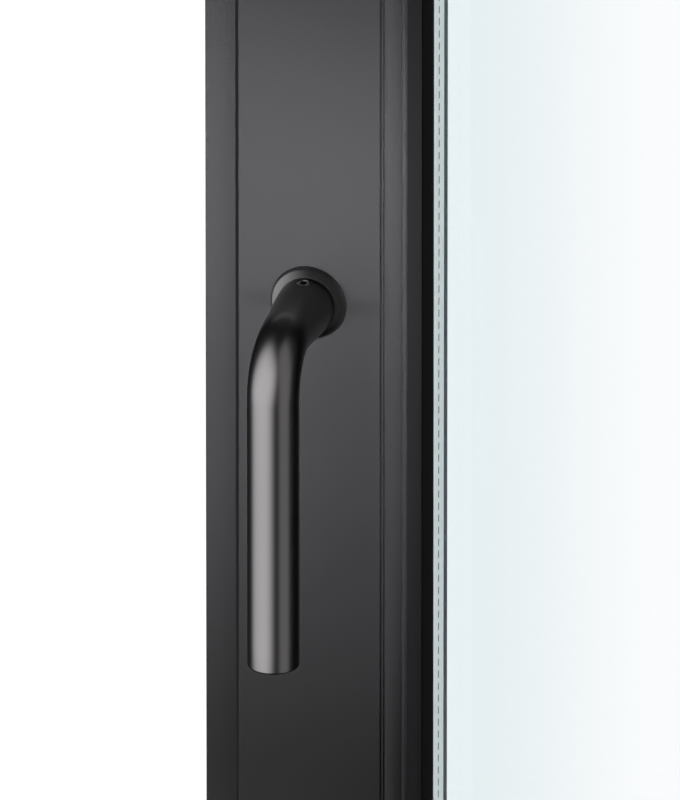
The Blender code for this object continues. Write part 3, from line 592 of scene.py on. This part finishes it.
def bead_loops():
    """Glazing bead: rib in the groove beside the sash, a face that falls away, a bull-nose by the glass."""
    u0, u1, _, w1 = section("bead_left")
    sash_end = section("sash_inner_left")[1]
    heel = sash_end + GAP
    start = sash_end + BEAD_GROOVE
    rib = sash_end + RIB_PLACE
    half = RIB_WIDTH / 2
    foot = WALL + GAP
    nose = (u1 - BEAD_NOSE, BEAD_NOSE)
    quirk = nose[0] - BEAD_NOSE - QUIRK
    outer = rounded([
        (u0, foot, 0), (heel, foot, 0), (heel, GROOVE_SHELF, 0), (rib - half, GROOVE_SHELF, 0),
        (rib - half, RIB_TOP, RIB_ROUND), (rib + half, RIB_TOP, RIB_ROUND), (rib + half, GROOVE_DEPTH, 0),
        (start, GROOVE_DEPTH, 0), (start, FACE_LEVEL, FACE_ROUND),
    ])
    for i in range(1, FACE_STEPS + 1):
        share = i / FACE_STEPS
        rise = FACE_RISE * max(FACE_CREST - share, 0) ** 2 / FACE_CREST ** 2
        fall = FACE_FALL * max(share - FACE_CREST, 0) ** 2 / (1 - FACE_CREST) ** 2
        outer.append((start + (quirk - start) * share, rise + fall))
    outer += arc(nose, BEAD_NOSE, 190, 360, 18)
    outer += [(u1, w1), (u0, w1)]
    return [outer, rectangle(u0 + BEAD_WALL, u1 - BEAD_WALL, foot + BEAD_WALL, w1 - BEAD_WALL)]


def build_bars():
    """The mitred bars of every profile, one side of the window after another."""
    for side in SIDES:
        bars = {}
        for name, loops, body, node in (
            ("room_frame_", frame_inner_loops, "frame", "frame_inner_"),
            ("outdoor_frame_", frame_outer_loops, "frame", "frame_outer_"),
            ("room_sash_", sash_inner_loops, "sash", "sash_inner_"),
            ("outdoor_sash_", sash_outer_loops, "sash", "sash_outer_"),
            ("glazing_bead_", bead_loops, "sash", "bead_"),
        ):
            bars[name] = piece(name + side, mitred(side, loops()), "coat", body, node + side)
        if side == "bottom":
            carve_drains(bars["outdoor_frame_"])
        if side == "left":
            carve_gear_pocket(bars["room_sash_"])


DRAIN_SPREAD = 130 * MM
DRAIN_LENGTH = 30 * MM
DRAIN_FOOT = 8 * MM
DRAIN_HEAD = 14 * MM
DRAIN_DEPTH = 4 * MM
DRAIN_ROUND = 2.9 * MM


def carve_drains(bar):
    """Two drainage slots with round ends, through the outdoor wall."""
    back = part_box("frame_outer_bottom")[1][1]
    slots = []
    for x in (-DRAIN_SPREAD, DRAIN_SPREAD):
        low = Vector((x - DRAIN_LENGTH / 2, back - DRAIN_DEPTH, DRAIN_FOOT))
        high = Vector((x + DRAIN_LENGTH / 2, back + WALL, DRAIN_HEAD))
        slot = box(low, high)
        through = [e for e in slot.edges if abs(e.verts[0].co.y - e.verts[1].co.y) > MM]
        bmesh.ops.bevel(slot, geom=through, offset=DRAIN_ROUND, segments=8, affect="EDGES", profile=0.5)
        slots.append(slot)
    carve(bar, *slots)


def carve_gear_pocket(bar):
    """Open the groove's floor for the gear case."""
    low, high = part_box("gear_case")
    gap = Vector((POCKET_INSET, 0.2 * MM, 0.4 * MM))
    low, high = Vector(low) - gap, Vector(high) + gap
    high.x = GROOVE_FLOOR + 2 * WALL - HALF_WIDTH
    carve(bar, box(low, high))


# ---------------------------------------------------------------- glazing and seals

def build_glazing():
    for name in ("inner_pane", "outer_pane"):
        low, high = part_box(name)
        bm = box(low, high)
        bmesh.ops.bevel(bm, geom=bm.edges[:], offset=SOFT_EDGE, segments=2, affect="EDGES", profile=0.5)
        piece(name + "_glass", bm, "glass", "sash", name)
    build_spacer()


SPACER_HEIGHT = 7 * MM
SPACER_SHOULDER = 0.5 * MM
SHOULDER_CUT = 0.15 * MM
ROLLED_INSET = 3.2 * MM
ROLLED_REACH = 0.35 * MM
ROLLED_DEPTH = 0.18 * MM
SLOT_PITCH = 5.0 * MM
SLOT_LENGTH = 3.2 * MM
SLOT_WIDTH = 1.25 * MM
SLOT_DEPTH = 0.35 * MM
SLOT_PROUD = 0.02 * MM
SLOT_TAPER = (0.7, 0.96)
SLOT_POINTS = 12


def build_spacer():
    """Spacer bar: cut shoulders, two fine rolled lines and a row of breathing slots."""
    u0, u1, w0, w1 = section("spacer_bar")
    u1 = u0 + SPACER_HEIGHT
    middle = (w0 + w1) / 2
    shoulder, cut = SPACER_SHOULDER, SHOULDER_CUT
    outline = [(u0, w0), (u0, w1), (u1 - shoulder, w1), (u1 - cut, w1 - cut), (u1, w1 - shoulder)]
    for centre in (w1 - ROLLED_INSET, w0 + ROLLED_INSET):
        for across, down in ((1, 0), (1 / 3, ROLLED_DEPTH), (-1 / 3, ROLLED_DEPTH), (-1, 0)):
            outline.append((u1 - down, centre + ROLLED_REACH * across))
    outline += [(u1, w0 + shoulder), (u1 - cut, w0 + cut), (u1 - shoulder, w0)]
    piece("spacer_body", ring(outline), "spacer", "sash", "spacer_bar")
    bm = bmesh.new()
    for side in SIDES:
        length = HEIGHT if side in ("left", "right") else 2 * HALF_WIDTH
        first = u1 + SLOT_PITCH
        count = int((length - 2 * first) / SLOT_PITCH)
        start = (length - count * SLOT_PITCH) / 2
        for i in range(count + 1):
            add_slot(bm, side, u1, middle, start + i * SLOT_PITCH)
    piece("spacer_slots", bm, "slot", "sash")


def add_slot(bm, side, u, w, along):
    """One breathing slot as a shallow plug with round ends that stands a hair proud of the spacer, coloured
    dark as painted shade inside the hole.
    """
    half, reach = SLOT_WIDTH / 2, SLOT_LENGTH / 2
    rim, floor = [], []
    for k in range(SLOT_POINTS):
        angle = 2 * math.pi * k / SLOT_POINTS
        across = half * math.cos(angle)
        shift = half * math.sin(angle) + math.copysign(reach - half, math.sin(angle + 1e-6))
        rim.append(bm.verts.new(place(side, u + SLOT_PROUD, w + across, along + shift)))
        low = w + across * SLOT_TAPER[0], along + shift * SLOT_TAPER[1]
        floor.append(bm.verts.new(place(side, u - SLOT_DEPTH, *low)))
    for k in range(SLOT_POINTS):
        m = (k + 1) % SLOT_POINTS
        bm.faces.new((rim[k], rim[m], floor[m], floor[k]))
    bm.faces.new(rim)
    bm.faces.new(floor)


GASKET_LIP = 3.6 * MM
GASKET_EDGE = 0.35 * MM
LIP_BACK = 0.9 * MM
LIP_ROUND = 0.8 * MM
LIP_TIP = 0.3 * MM
TIP_ROUND = 0.2 * MM
OUTDOOR_LIP_DEPTH = 1.3 * MM


def build_seals():
    """Gaskets on both sides of the glass, each with a lip that leans on the pane."""
    u0, u1, w0, w1 = section("room_gasket")
    top = section("bead_left")[1] + GAP
    u1 = top + GASKET_LIP
    outline = rounded([
        (u0, w0, 0), (top, w0, GASKET_EDGE), (u1 - LIP_BACK, (w0 + w1) / 2, LIP_ROUND),
        (u1, w1 - LIP_TIP, TIP_ROUND), (u1, w1, 0), (u0, w1, 0),
    ])
    piece("room_glazing_gasket", ring(outline), "rubber", "sash", "room_gasket")
    u0, u1, w0, w1 = section("outer_gasket")
    u1 = section("spacer_bar")[0] + SPACER_HEIGHT
    leg = section("sash_outer_left")[1] + GAP
    outline = rounded([
        (u0, w0, 0), (u1, w0, 0), (u1 - LIP_BACK, w0 + OUTDOOR_LIP_DEPTH, LIP_ROUND), (leg, w1, GASKET_EDGE),
        (u0, w1, 0),
    ])
    piece("outdoor_glazing_gasket", ring(outline), "seal", "sash", "outer_gasket")


# How far the black strip of painted gap shade reaches out past the sash edge and in under it
SHADE_STRIP_REACH_OUT = 2.6 * MM
SHADE_STRIP_REACH_IN = 1.2 * MM


def build_gap_shade_strip():
    """Black rubber strip between the sash lip and the frame, clear of the hinges: its dark line is painted
    shade of the gap.
    """
    front = LIP_RETURN + GAP
    back = section("frame_inner_left")[2] - GAP
    sash = section("sash_inner_left")[0]
    near, far = sash - SHADE_STRIP_REACH_OUT, sash + SHADE_STRIP_REACH_IN
    outline = rounded([(near, front, SOFT_EDGE), (far, front, 0), (far, back, 0), (near, back, SOFT_EDGE)])
    for side in ("left", "bottom", "top"):
        piece("gap_shade_strip_" + side, mitred(side, [outline]), "rubber", "sash")


def build_plain_parts():
    """CAD pieces whose shape is already right: softened edges and their own finishes."""
    for node in ("frame_break_", "sash_break_"):
        for side in SIDES:
            dress(node + side, "polyamide", 0.2 * MM)
    for node in ("centre_seal", "stop_seal", "edge_seal"):
        dress(node, "rubber", 0.5 * MM)
    for node in ("setting_block_left", "setting_block_right"):
        dress(node, "polyamide", 0.3 * MM)
    for node in ("gear_case", "rosette_base", "upper_keep", "lower_keep"):
        dress(node, "zinc", 0.3 * MM)
    for node in (
        "pinion", "spindle", "upper_drive_rod", "lower_drive_rod", "upper_fixing_screw",
        "lower_fixing_screw", "upper_locking_cam", "lower_locking_cam",
    ):
        dress(node, "steel", 0.15 * MM)


def dress(node, finish, width):
    """Give a CAD piece its finish and soft edges of this width."""
    obj = frame["nodes"][node]
    for slot in obj.material_slots:
        slot.material = FINISH[finish]
    soften(obj, width)


# ---------------------------------------------------------------- lever

LEVER_SEGMENTS = 96
BEND_RADIUS = 19 * MM
NECK_RADIUS = 11.3 * MM
BEND_TUBE_RADIUS = 9.6 * MM
GRIP_RADIUS = 9.9 * MM
FOOT_INSET = 2.5 * MM
FOOT_ROUND = 0.5 * MM
END_ROUND = 1.2 * MM
END_INSET = 3.9 * MM
FOOT_RINGS = 3
NECK_RINGS = 12
BEND_RINGS = 32
GRIP_RINGS = 12
END_RINGS = 8


def lever_sizes():
    """How far out the foot and the grip's axis are, and how far down the lever ends."""
    low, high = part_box("lever")
    return SASH_FACE_Y - high[1], SASH_FACE_Y - low[1] - GRIP_RADIUS, HANDLE.z - low[2]


def eased(share):
    share = min(max(share, 0), 1)
    return share * share * (3 - 2 * share)


def lever_radius(travel, bend):
    """Tube radius at this way along: it tapers up to the bend, and swells a little round it."""
    taper = eased(travel / bend)
    swell = eased((travel - bend) / BEND_RADIUS)
    return NECK_RADIUS + (BEND_TUBE_RADIUS - NECK_RADIUS) * taper + (GRIP_RADIUS - BEND_TUBE_RADIUS) * swell


def lever_path(foot, offset, length):
    """Steps along the axis, each (out, up) and its heading: through the neck, the bend and the grip."""
    straight = offset - BEND_RADIUS
    steps = []
    for i in range(1, NECK_RINGS + 1):
        steps.append((foot + (straight - foot) * i / NECK_RINGS, 0.0, 1.0, 0.0))
    for i in range(1, BEND_RINGS + 1):
        angle = math.pi / 2 * i / BEND_RINGS
        out = straight + BEND_RADIUS * math.sin(angle)
        steps.append((out, BEND_RADIUS * (math.cos(angle) - 1), math.cos(angle), -math.sin(angle)))
    drop = length - BEND_RADIUS - END_ROUND
    for i in range(1, GRIP_RINGS):
        steps.append((offset, -BEND_RADIUS - drop * i / GRIP_RINGS, 0.0, -1.0))
    return steps


def lever_ring(bm, out, height, along, rise, radius):
    """Ring of points square to the tube's heading (along, rise)."""
    centre = Vector((HANDLE.x, SASH_FACE_Y - out, HANDLE.z + height))
    across = Vector((0, rise, along))
    points = []
    for i in range(LEVER_SEGMENTS):
        angle = 2 * math.pi * i / LEVER_SEGMENTS
        spoke = math.cos(angle) * Vector((1, 0, 0)) + math.sin(angle) * across
        points.append(bm.verts.new(centre + radius * spoke))
    return points


def build_lever():
    """One bent bar: eased foot, neck, bend, grip and a rounded end."""
    foot, offset, length = lever_sizes()
    bm = bmesh.new()
    rings = [lever_ring(bm, foot, 0, 1, 0, NECK_RADIUS - FOOT_INSET)]
    for i in range(FOOT_RINGS + 1):
        angle = math.pi / 2 * i / FOOT_RINGS
        radius = NECK_RADIUS - FOOT_ROUND * (1 - math.sin(angle))
        rings.append(lever_ring(bm, foot + FOOT_ROUND * (1 - math.cos(angle)), 0, 1, 0, radius))
    travel = FOOT_ROUND
    before = (foot, 0)
    for out, height, along, rise in lever_path(foot, offset, length):
        travel += math.hypot(out - before[0], height - before[1])
        before = (out, height)
        rings.append(lever_ring(bm, out, height, along, rise, lever_radius(travel, offset - BEND_RADIUS)))
    for i in range(END_RINGS + 1):
        angle = math.pi / 2 * i / END_RINGS
        radius = GRIP_RADIUS - END_ROUND * (1 - math.cos(angle))
        rings.append(lever_ring(bm, offset, -length + END_ROUND * (1 - math.sin(angle)), 0, -1, radius))
    rings.append(lever_ring(bm, offset, -length, 0, -1, GRIP_RADIUS - END_INSET))
    for here, there in zip(rings, rings[1:]):
        for i in range(LEVER_SEGMENTS):
            j = (i + 1) % LEVER_SEGMENTS
            bm.faces.new((here[i], here[j], there[j], there[i]))
    bm.faces.new(rings[0])
    bm.faces.new(rings[-1])
    fit_grub_screw(piece("handle_lever", bm, "lever", "handle", "lever"))


SCREW_SEGMENTS = 40
SCREW_CLEARANCE = 0.12 * MM
SCREW_SINK = 0.15 * MM
SCREW_EDGE = 0.12 * MM
KEY_SHARE = 0.62
KEY_DEPTH = 1.8 * MM
FLARE_WIDTH = 0.3 * MM
FLARE_DEPTH = 0.2 * MM
FLARE_ABOVE = 0.4 * MM


def fit_grub_screw(lever):
    """Bore the neck, flare the bore's mouth and put the screw just under it."""
    low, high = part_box("grub_screw")
    at = Vector(((low[0] + high[0]) / 2, (low[1] + high[1]) / 2, 0))
    radius = (high[0] - low[0]) / 2
    top = HANDLE.z + NECK_RADIUS
    bore = radius + SCREW_CLEARANCE
    hole = [(0, low[2]), (bore, low[2]), (bore, top - FLARE_DEPTH)]
    hole += [(bore + FLARE_WIDTH, top + FLARE_ABOVE), (0, top + FLARE_ABOVE)]
    carve(lever, turned(at, (0, 0, 1), hole, SCREW_SEGMENTS))
    build_grub_screw(at, radius, low[2], top - SCREW_SINK)


def build_grub_screw(at, radius, foot, head):
    """Headless screw with a hexagon socket."""
    rim = (radius, head - SCREW_EDGE), (radius - SCREW_EDGE, head)
    shape = turned(at, (0, 0, 1), [(0, foot), (radius, foot), *rim, (0, head)], SCREW_SEGMENTS)
    screw = piece("lever_grub_screw", shape, "steel", "handle", "grub_screw")
    key, bottom = radius * KEY_SHARE, head - KEY_DEPTH
    socket = [(0, bottom), (key, bottom), (key, head + MM), (0, head + MM)]
    carve(screw, turned(at, (0, 0, 1), socket, 6))


ROSETTE_BORE = 5.6 * MM
ROSETTE_SHELL = 0.8 * MM
ROSETTE_TAPER = 0.8 * MM
ROSETTE_EDGE = 0.35 * MM
DOME_DROP = 1.1 * MM
DOME_SEAT = 0.4 * MM
DOME_STEPS = 8
DOME_START = 0.06
DOME_CURL = 1.15


def build_rosette():
    """Thin turned cover: a dome that falls away from the neck, a rolled rim and a tapered side."""
    low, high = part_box("rosette_cover")
    radius = (high[0] - low[0]) / 2
    front = SASH_FACE_Y - low[1]
    back = SASH_FACE_Y - high[1]
    rim = radius - ROSETTE_TAPER
    inner = rim - ROSETTE_SHELL
    shoulder = front - DOME_DROP
    dome_end = rim - ROSETTE_EDGE * 0.8
    profile = [(ROSETTE_BORE, front), (NECK_RADIUS - DOME_SEAT, front)]
    for i in range(DOME_STEPS + 1):
        share = i / DOME_STEPS
        drop = DOME_DROP * (DOME_START + (1 - DOME_START) * share ** DOME_CURL)
        profile.append((NECK_RADIUS + (dome_end - NECK_RADIUS) * share, front - drop))
    profile += arc((rim - ROSETTE_EDGE, shoulder - ROSETTE_EDGE), ROSETTE_EDGE, 62, 15, 5)[1:]
    profile += [(radius, back), (inner, back), (inner, shoulder - ROSETTE_SHELL)]
    profile.append((ROSETTE_BORE, shoulder - ROSETTE_SHELL))
    shape = turned(HANDLE_SEAT, (0, -1, 0), profile, 128, closed=True)
    piece("handle_rosette", shape, "cover", "sash", "rosette_cover")


# ---------------------------------------------------------------- hinges

LEAF_FACE = 3.3 * MM
LEAF_MARGIN = 7 * MM
SCREW_STEP = 13 * MM
SCREW_ROWS = (0.22, 0.78)


def build_hinge(name):
    """Coated leaves with a steel pin, and four screws in the leaf on the sash."""
    for leaf, body in (("_frame_leaf", "frame"), ("_sash_leaf", "sash"), ("_pin", "frame")):
        dress(name + leaf, "hinge" if leaf != "_pin" else "steel", 0.4 * MM)
    low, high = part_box(name + "_sash_leaf")
    for k, row in enumerate(SCREW_ROWS):
        for m in range(2):
            x = low[0] + LEAF_MARGIN + SCREW_STEP * m
            z = low[2] + (high[2] - low[2]) * row
            cross_screw(f"{name}_screw_{2 * k + m + 1}", Vector((x, SASH_FACE_Y - LEAF_FACE, z)), "sash")


HEAD_RADIUS = 3.1 * MM
HEAD_DEPTH = 1.4 * MM
CROSS_WIDTH = 0.84 * MM
CROSS_LENGTH = 3.8 * MM
CROSS_DEPTH = 2 * MM
CROSS_ABOVE = 0.6 * MM


def cross_screw(name, at, body):
    """Countersunk cross-head screw with a slightly domed head."""
    radius = HEAD_RADIUS
    profile = [(0, 0.5 * MM), (radius * 0.5, 0.45 * MM), (radius * 0.85, 0.22 * MM), (radius, 0.02 * MM)]
    profile += [(radius * 0.6, -HEAD_DEPTH), (0, -HEAD_DEPTH)]
    screw = piece(name, turned(at, (0, -1, 0), profile, 32), "steel", body)
    arm, reach = CROSS_WIDTH / 2, CROSS_LENGTH / 2
    for x, z in ((arm, reach), (reach, arm)):
        carve(screw, box(at + Vector((-x, -CROSS_DEPTH, -z)), at + Vector((x, CROSS_ABOVE, z))))


# ---------------------------------------------------------------- camera, floor and light

AZIMUTH_DEGREES = 15.6
AZIMUTH = math.radians(AZIMUTH_DEGREES)
ELEVATION = math.radians(23.6)
SENSOR = 36
DISTANCE = 12.2
FAR_CLIP = 200
VIEW_HEIGHT = 302.7 * MM
AIM_RIGHT = 11.8 * MM
AIM_DOWN = 37.0 * MM


def towards(azimuth, elevation):
    """Unit vector from the window towards a viewer at these angles."""
    flat = math.cos(elevation)
    return Vector((math.sin(azimuth) * flat, -math.cos(azimuth) * flat, math.sin(elevation)))


def build_camera():
    """Long lens from the right and above, aimed a little right of the handle and below it."""
    data = bpy.data.cameras.new("camera")
    data.sensor_width = SENSOR
    data.lens = data.sensor_width * DISTANCE / VIEW_HEIGHT
    data.clip_end = FAR_CLIP
    camera = bpy.data.objects.new("camera", data)
    bpy.context.collection.objects.link(camera)
    back = towards(AZIMUTH, ELEVATION)
    right = Vector((math.cos(AZIMUTH), math.sin(AZIMUTH), 0))
    up = back.cross(right)
    camera.location = HANDLE_SEAT + right * AIM_RIGHT - up * AIM_DOWN + back * DISTANCE
    camera.rotation_euler = back.to_track_quat("Z", "Y").to_euler()
    bpy.context.scene.camera = camera


BACKDROP = 1.075
FLOOR_SIZE = 40
FLOOR_NEAR = 0.35
FLOOR_FAR = 0.72
FLOOR_GLOW = 0.62
FLOOR_SHADE = 0.7
WORLD_FILL = 0.006


def build_floor():
    """Pale floor that takes a shadow round the window's foot and turns white further off."""
    bm = bmesh.new()
    bmesh.ops.create_grid(bm, x_segments=1, y_segments=1, size=FLOOR_SIZE)
    n = Nodes("pale_floor")
    n.set(Roughness=0.9)
    n.shader.inputs["Specular IOR Level"].default_value = 0.0
    n.shader.inputs["Emission Color"].default_value = (1, 1, 1, 1)
    away = n.add("ShaderNodeVectorMath", operation="LENGTH")
    n.link(n.position, away.inputs[0])
    glow = n.smooth(away.outputs["Value"], FLOOR_NEAR, FLOOR_FAR, FLOOR_GLOW, BACKDROP)
    n.link(glow, n.shader.inputs["Emission Strength"])
    shade = n.smooth(away.outputs["Value"], FLOOR_NEAR, FLOOR_FAR, FLOOR_SHADE, 0.0)
    n.link(shade, n.shader.inputs["Base Color"])
    FINISH["floor"] = n.material
    floor = to_object("floor", bm, "floor", smooth=False)
    floor.location.z = CAD_LOW[2]
    floor.visible_diffuse = False
    floor.visible_glossy = False
    floor.visible_shadow = False


def build_world():
    """White behind the object, dim for reflections and soft fill."""
    world = bpy.data.worlds.new("studio")
    bpy.context.scene.world = world
    world.use_nodes = True
    tree = world.node_tree
    output = tree.nodes["World Output"]
    seen = tree.nodes["Background"]
    seen.inputs["Color"].default_value = (1, 1, 1, 1)
    seen.inputs["Strength"].default_value = BACKDROP
    fill = tree.nodes.new("ShaderNodeBackground")
    fill.inputs["Color"].default_value = (0.95, 0.97, 1.0, 1)
    fill.inputs["Strength"].default_value = WORLD_FILL
    path = tree.nodes.new("ShaderNodeLightPath")
    mix = tree.nodes.new("ShaderNodeMixShader")
    tree.links.new(path.outputs["Is Camera Ray"], mix.inputs["Fac"])
    tree.links.new(fill.outputs["Background"], mix.inputs[1])
    tree.links.new(seen.outputs["Background"], mix.inputs[2])
    tree.links.new(mix.outputs["Shader"], output.inputs["Surface"])


def soft_edge(light, reach):
    """Let an area light fade towards its rim, over this share of its half size."""
    light.use_nodes = True
    tree = light.node_tree
    emission = tree.nodes["Emission"]
    surface = tree.nodes.new("ShaderNodeNewGeometry")
    axes = tree.nodes.new("ShaderNodeSeparateXYZ")
    tree.links.new(surface.outputs["Parametric"], axes.inputs["Vector"])
    faded = []
    for axis in ("X", "Y"):
        centred = tree.nodes.new("ShaderNodeMath")
        centred.operation = "SUBTRACT"
        centred.inputs[1].default_value = 0.5
        tree.links.new(axes.outputs[axis], centred.inputs[0])
        away = tree.nodes.new("ShaderNodeMath")
        away.operation = "ABSOLUTE"
        tree.links.new(centred.outputs["Value"], away.inputs[0])
        fade = tree.nodes.new("ShaderNodeMapRange")
        fade.interpolation_type = "SMOOTHSTEP"
        fade.inputs["From Min"].default_value = 0.5
        fade.inputs["From Max"].default_value = 0.5 - reach / 2
        tree.links.new(away.outputs["Value"], fade.inputs["Value"])
        faded.append(fade.outputs["Result"])
    both = tree.nodes.new("ShaderNodeMath")
    both.operation = "MULTIPLY"
    tree.links.new(faded[0], both.inputs[0])
    tree.links.new(faded[1], both.inputs[1])
    tree.links.new(both.outputs["Value"], emission.inputs["Strength"])


def softbox(name, azimuth, elevation, distance, half_angles, radiance, roll=0, fade=0.5, glossy=True):
    """Area light that the handle sees at these angles, in degrees, with the azimuth from the camera's."""
    width, height = (2 * distance * math.tan(math.radians(angle)) for angle in half_angles)
    light = area_light(name, azimuth, elevation, distance, (width, height), HANDLE_SEAT, roll)
    light.data.energy = radiance * math.pi * width * height
    soft_edge(light.data, fade)
    light.visible_glossy = glossy
    return light


BEAM_DISTANCE = 1.0
BEAM_SIZE = (2.0, 0.04)


def beam(name, azimuth, power, above, spread):
    """Narrow band of light on the window at a height above the handle; azimuth 0 is straight ahead."""
    aim = HANDLE_SEAT + Vector((0, 0, above))
    light = area_light(name, azimuth - AZIMUTH_DEGREES, 0, BEAM_DISTANCE, BEAM_SIZE, aim)
    light.data.energy = power
    light.data.spread = math.radians(spread)
    light.visible_glossy = False
    return light


def area_light(name, azimuth, elevation, distance, size, aim, roll=0):
    """Rectangular light that faces a point, at angles in degrees, with the azimuth from the camera's."""
    data = bpy.data.lights.new(name, "AREA")
    data.shape = "RECTANGLE"
    data.size, data.size_y = size
    light = bpy.data.objects.new(name, data)
    bpy.context.collection.objects.link(light)
    back = towards(AZIMUTH + math.radians(azimuth), math.radians(elevation))
    light.location = aim + back * distance
    facing = back.to_track_quat("Z", "Y")
    light.rotation_euler = (facing @ Quaternion((0, 0, 1), math.radians(roll))).to_euler()
    light.visible_camera = False
    return light


def link_lights(lights, pieces, state):
    """Make lights reach only these pieces, or every piece but these."""
    receivers = bpy.data.collections.new("receivers")
    for obj in pieces:
        receivers.objects.link(obj)
    for entry in receivers.collection_objects:
        entry.light_linking.link_state = state
    for light in lights:
        light.light_linking.receiver_collection = receivers


CARD_SIZE = (84 * MM, 22 * MM)
CARD_PLACE = Vector((-10 * MM, 0, 38 * MM))
CARD_STAND_OFF = 2 * MM


def neck_card():
    """Small soft light just over the sash face, that only the lever's neck mirrors."""
    aim = HANDLE_SEAT + CARD_PLACE
    light = area_light("neck_card", 180 - AZIMUTH_DEGREES, 0, -CARD_STAND_OFF, CARD_SIZE, aim)
    light.data.energy = 0.36 * math.pi * CARD_SIZE[0] * CARD_SIZE[1]
    soft_edge(light.data, 0.6)
    return light


def keep_shadows_off(lights, pieces):
    """Let these pieces throw no shadow from the lights."""
    blockers = bpy.data.collections.new("blockers")
    for obj in pieces:
        blockers.objects.link(obj)
    for entry in blockers.collection_objects:
        entry.light_linking.link_state = "EXCLUDE"
    for light in lights:
        light.light_linking.blocker_collection = blockers


def light_handle(lever, rosette):
    """Bright soft boxes for the dark lever, and weaker ones for the rosette."""
    boxes = [
        softbox("metal_softbox", -50, 6, 3.0, (63, 67), 3.7, roll=-20, fade=0.85),
        softbox("metal_strip", 49, 8, 3.0, (33, 66), 0.92),
    ]
    link_lights(boxes, [lever], "INCLUDE")
    link_lights([neck_card()], [lever], "INCLUDE")
    cover = [
        softbox("cover_softbox", -76, -6, 3.0, (50, 54), 1.12, fade=1.0),
        softbox("cover_fill", 20, 0, 3.0, (60, 60), 0.07, fade=0.6),
    ]
    link_lights(cover, [rosette], "INCLUDE")


def light_coat(lever, grub_screw):
    """Pool of light across the coated bars round the handle, with fill above, below and at the sides."""
    pool = []
    for side, azimuth, upper, lower in (
        ("front", 0, 0.4074, 1.0976), ("right", 46, 0.1455, 0.6468), ("left", -50, 0.2522, 0.6468),
    ):
        beams = [
            beam("pool_upper_" + side, azimuth, upper, 73 * MM, 12.6),
            beam("pool_lower_" + side, azimuth, lower, -4 * MM, 23.5),
        ]
        keep_shadows_off(beams, [lever, grub_screw] if side == "left" else METAL)
        pool += beams
    for name, above, spread, power in (
        ("top_fill", 420 * MM, 33, 1.6), ("foot_fill", -400 * MM, 24, 1.1),
    ):
        pool.append(beam(name + "_front", 0, power, above, spread))
        pool.append(beam(name + "_left", -44.4, power / 2, above, spread))
    for name, azimuth, elevation, power in (
        ("side_right", 100, 6, 5.0), ("side_left", -100, 6, 9.0), ("overhead", 180, 68, 5.0),
    ):
        pool.append(softbox(name, azimuth - AZIMUTH_DEGREES, elevation, 3.0, (9, 36), power, glossy=False))
    link_lights(pool, COATED, "INCLUDE")


def build_lights():
    """General soft boxes, then lights that reach only the handle, the coat or the spacer."""
    handle = METAL[:3]
    lever, grub_screw, rosette = handle
    general = [
        softbox("main_softbox", -56, 0, 3.0, (46, 62), 0.85, roll=-24, fade=0.8),
        softbox("side_strip", 54, -6, 3.0, (30, 50), 0.42),
        softbox("rear_softbox", 160, 22, 3.0, (35, 35), 3.0, glossy=False),
        softbox("rear_side", 225, 12, 3.0, (25, 35), 2.4, glossy=False),
    ]
    link_lights(general, PANES + handle, "EXCLUDE")
    light_handle(lever, rosette)
    light_coat(lever, grub_screw)
    unit = [
        softbox("unit_right", 62, 4, 2.0, (40, 40), 5.1, glossy=False),
        softbox("unit_left", -93, 4, 2.0, (40, 40), 5.1, glossy=False),
    ]
    link_lights(unit, UNIT, "INCLUDE")


# ---------------------------------------------------------------- build

build_camera()
build_floor()
build_world()
build_bars()
build_glazing()
build_seals()
build_gap_shade_strip()
build_lever()
build_rosette()
build_plain_parts()
for hinge in ("upper_hinge", "lower_hinge"):
    build_hinge(hinge)
build_lights()

view = bpy.context.scene.view_settings
view.view_transform = "Standard"
view.look = "None"
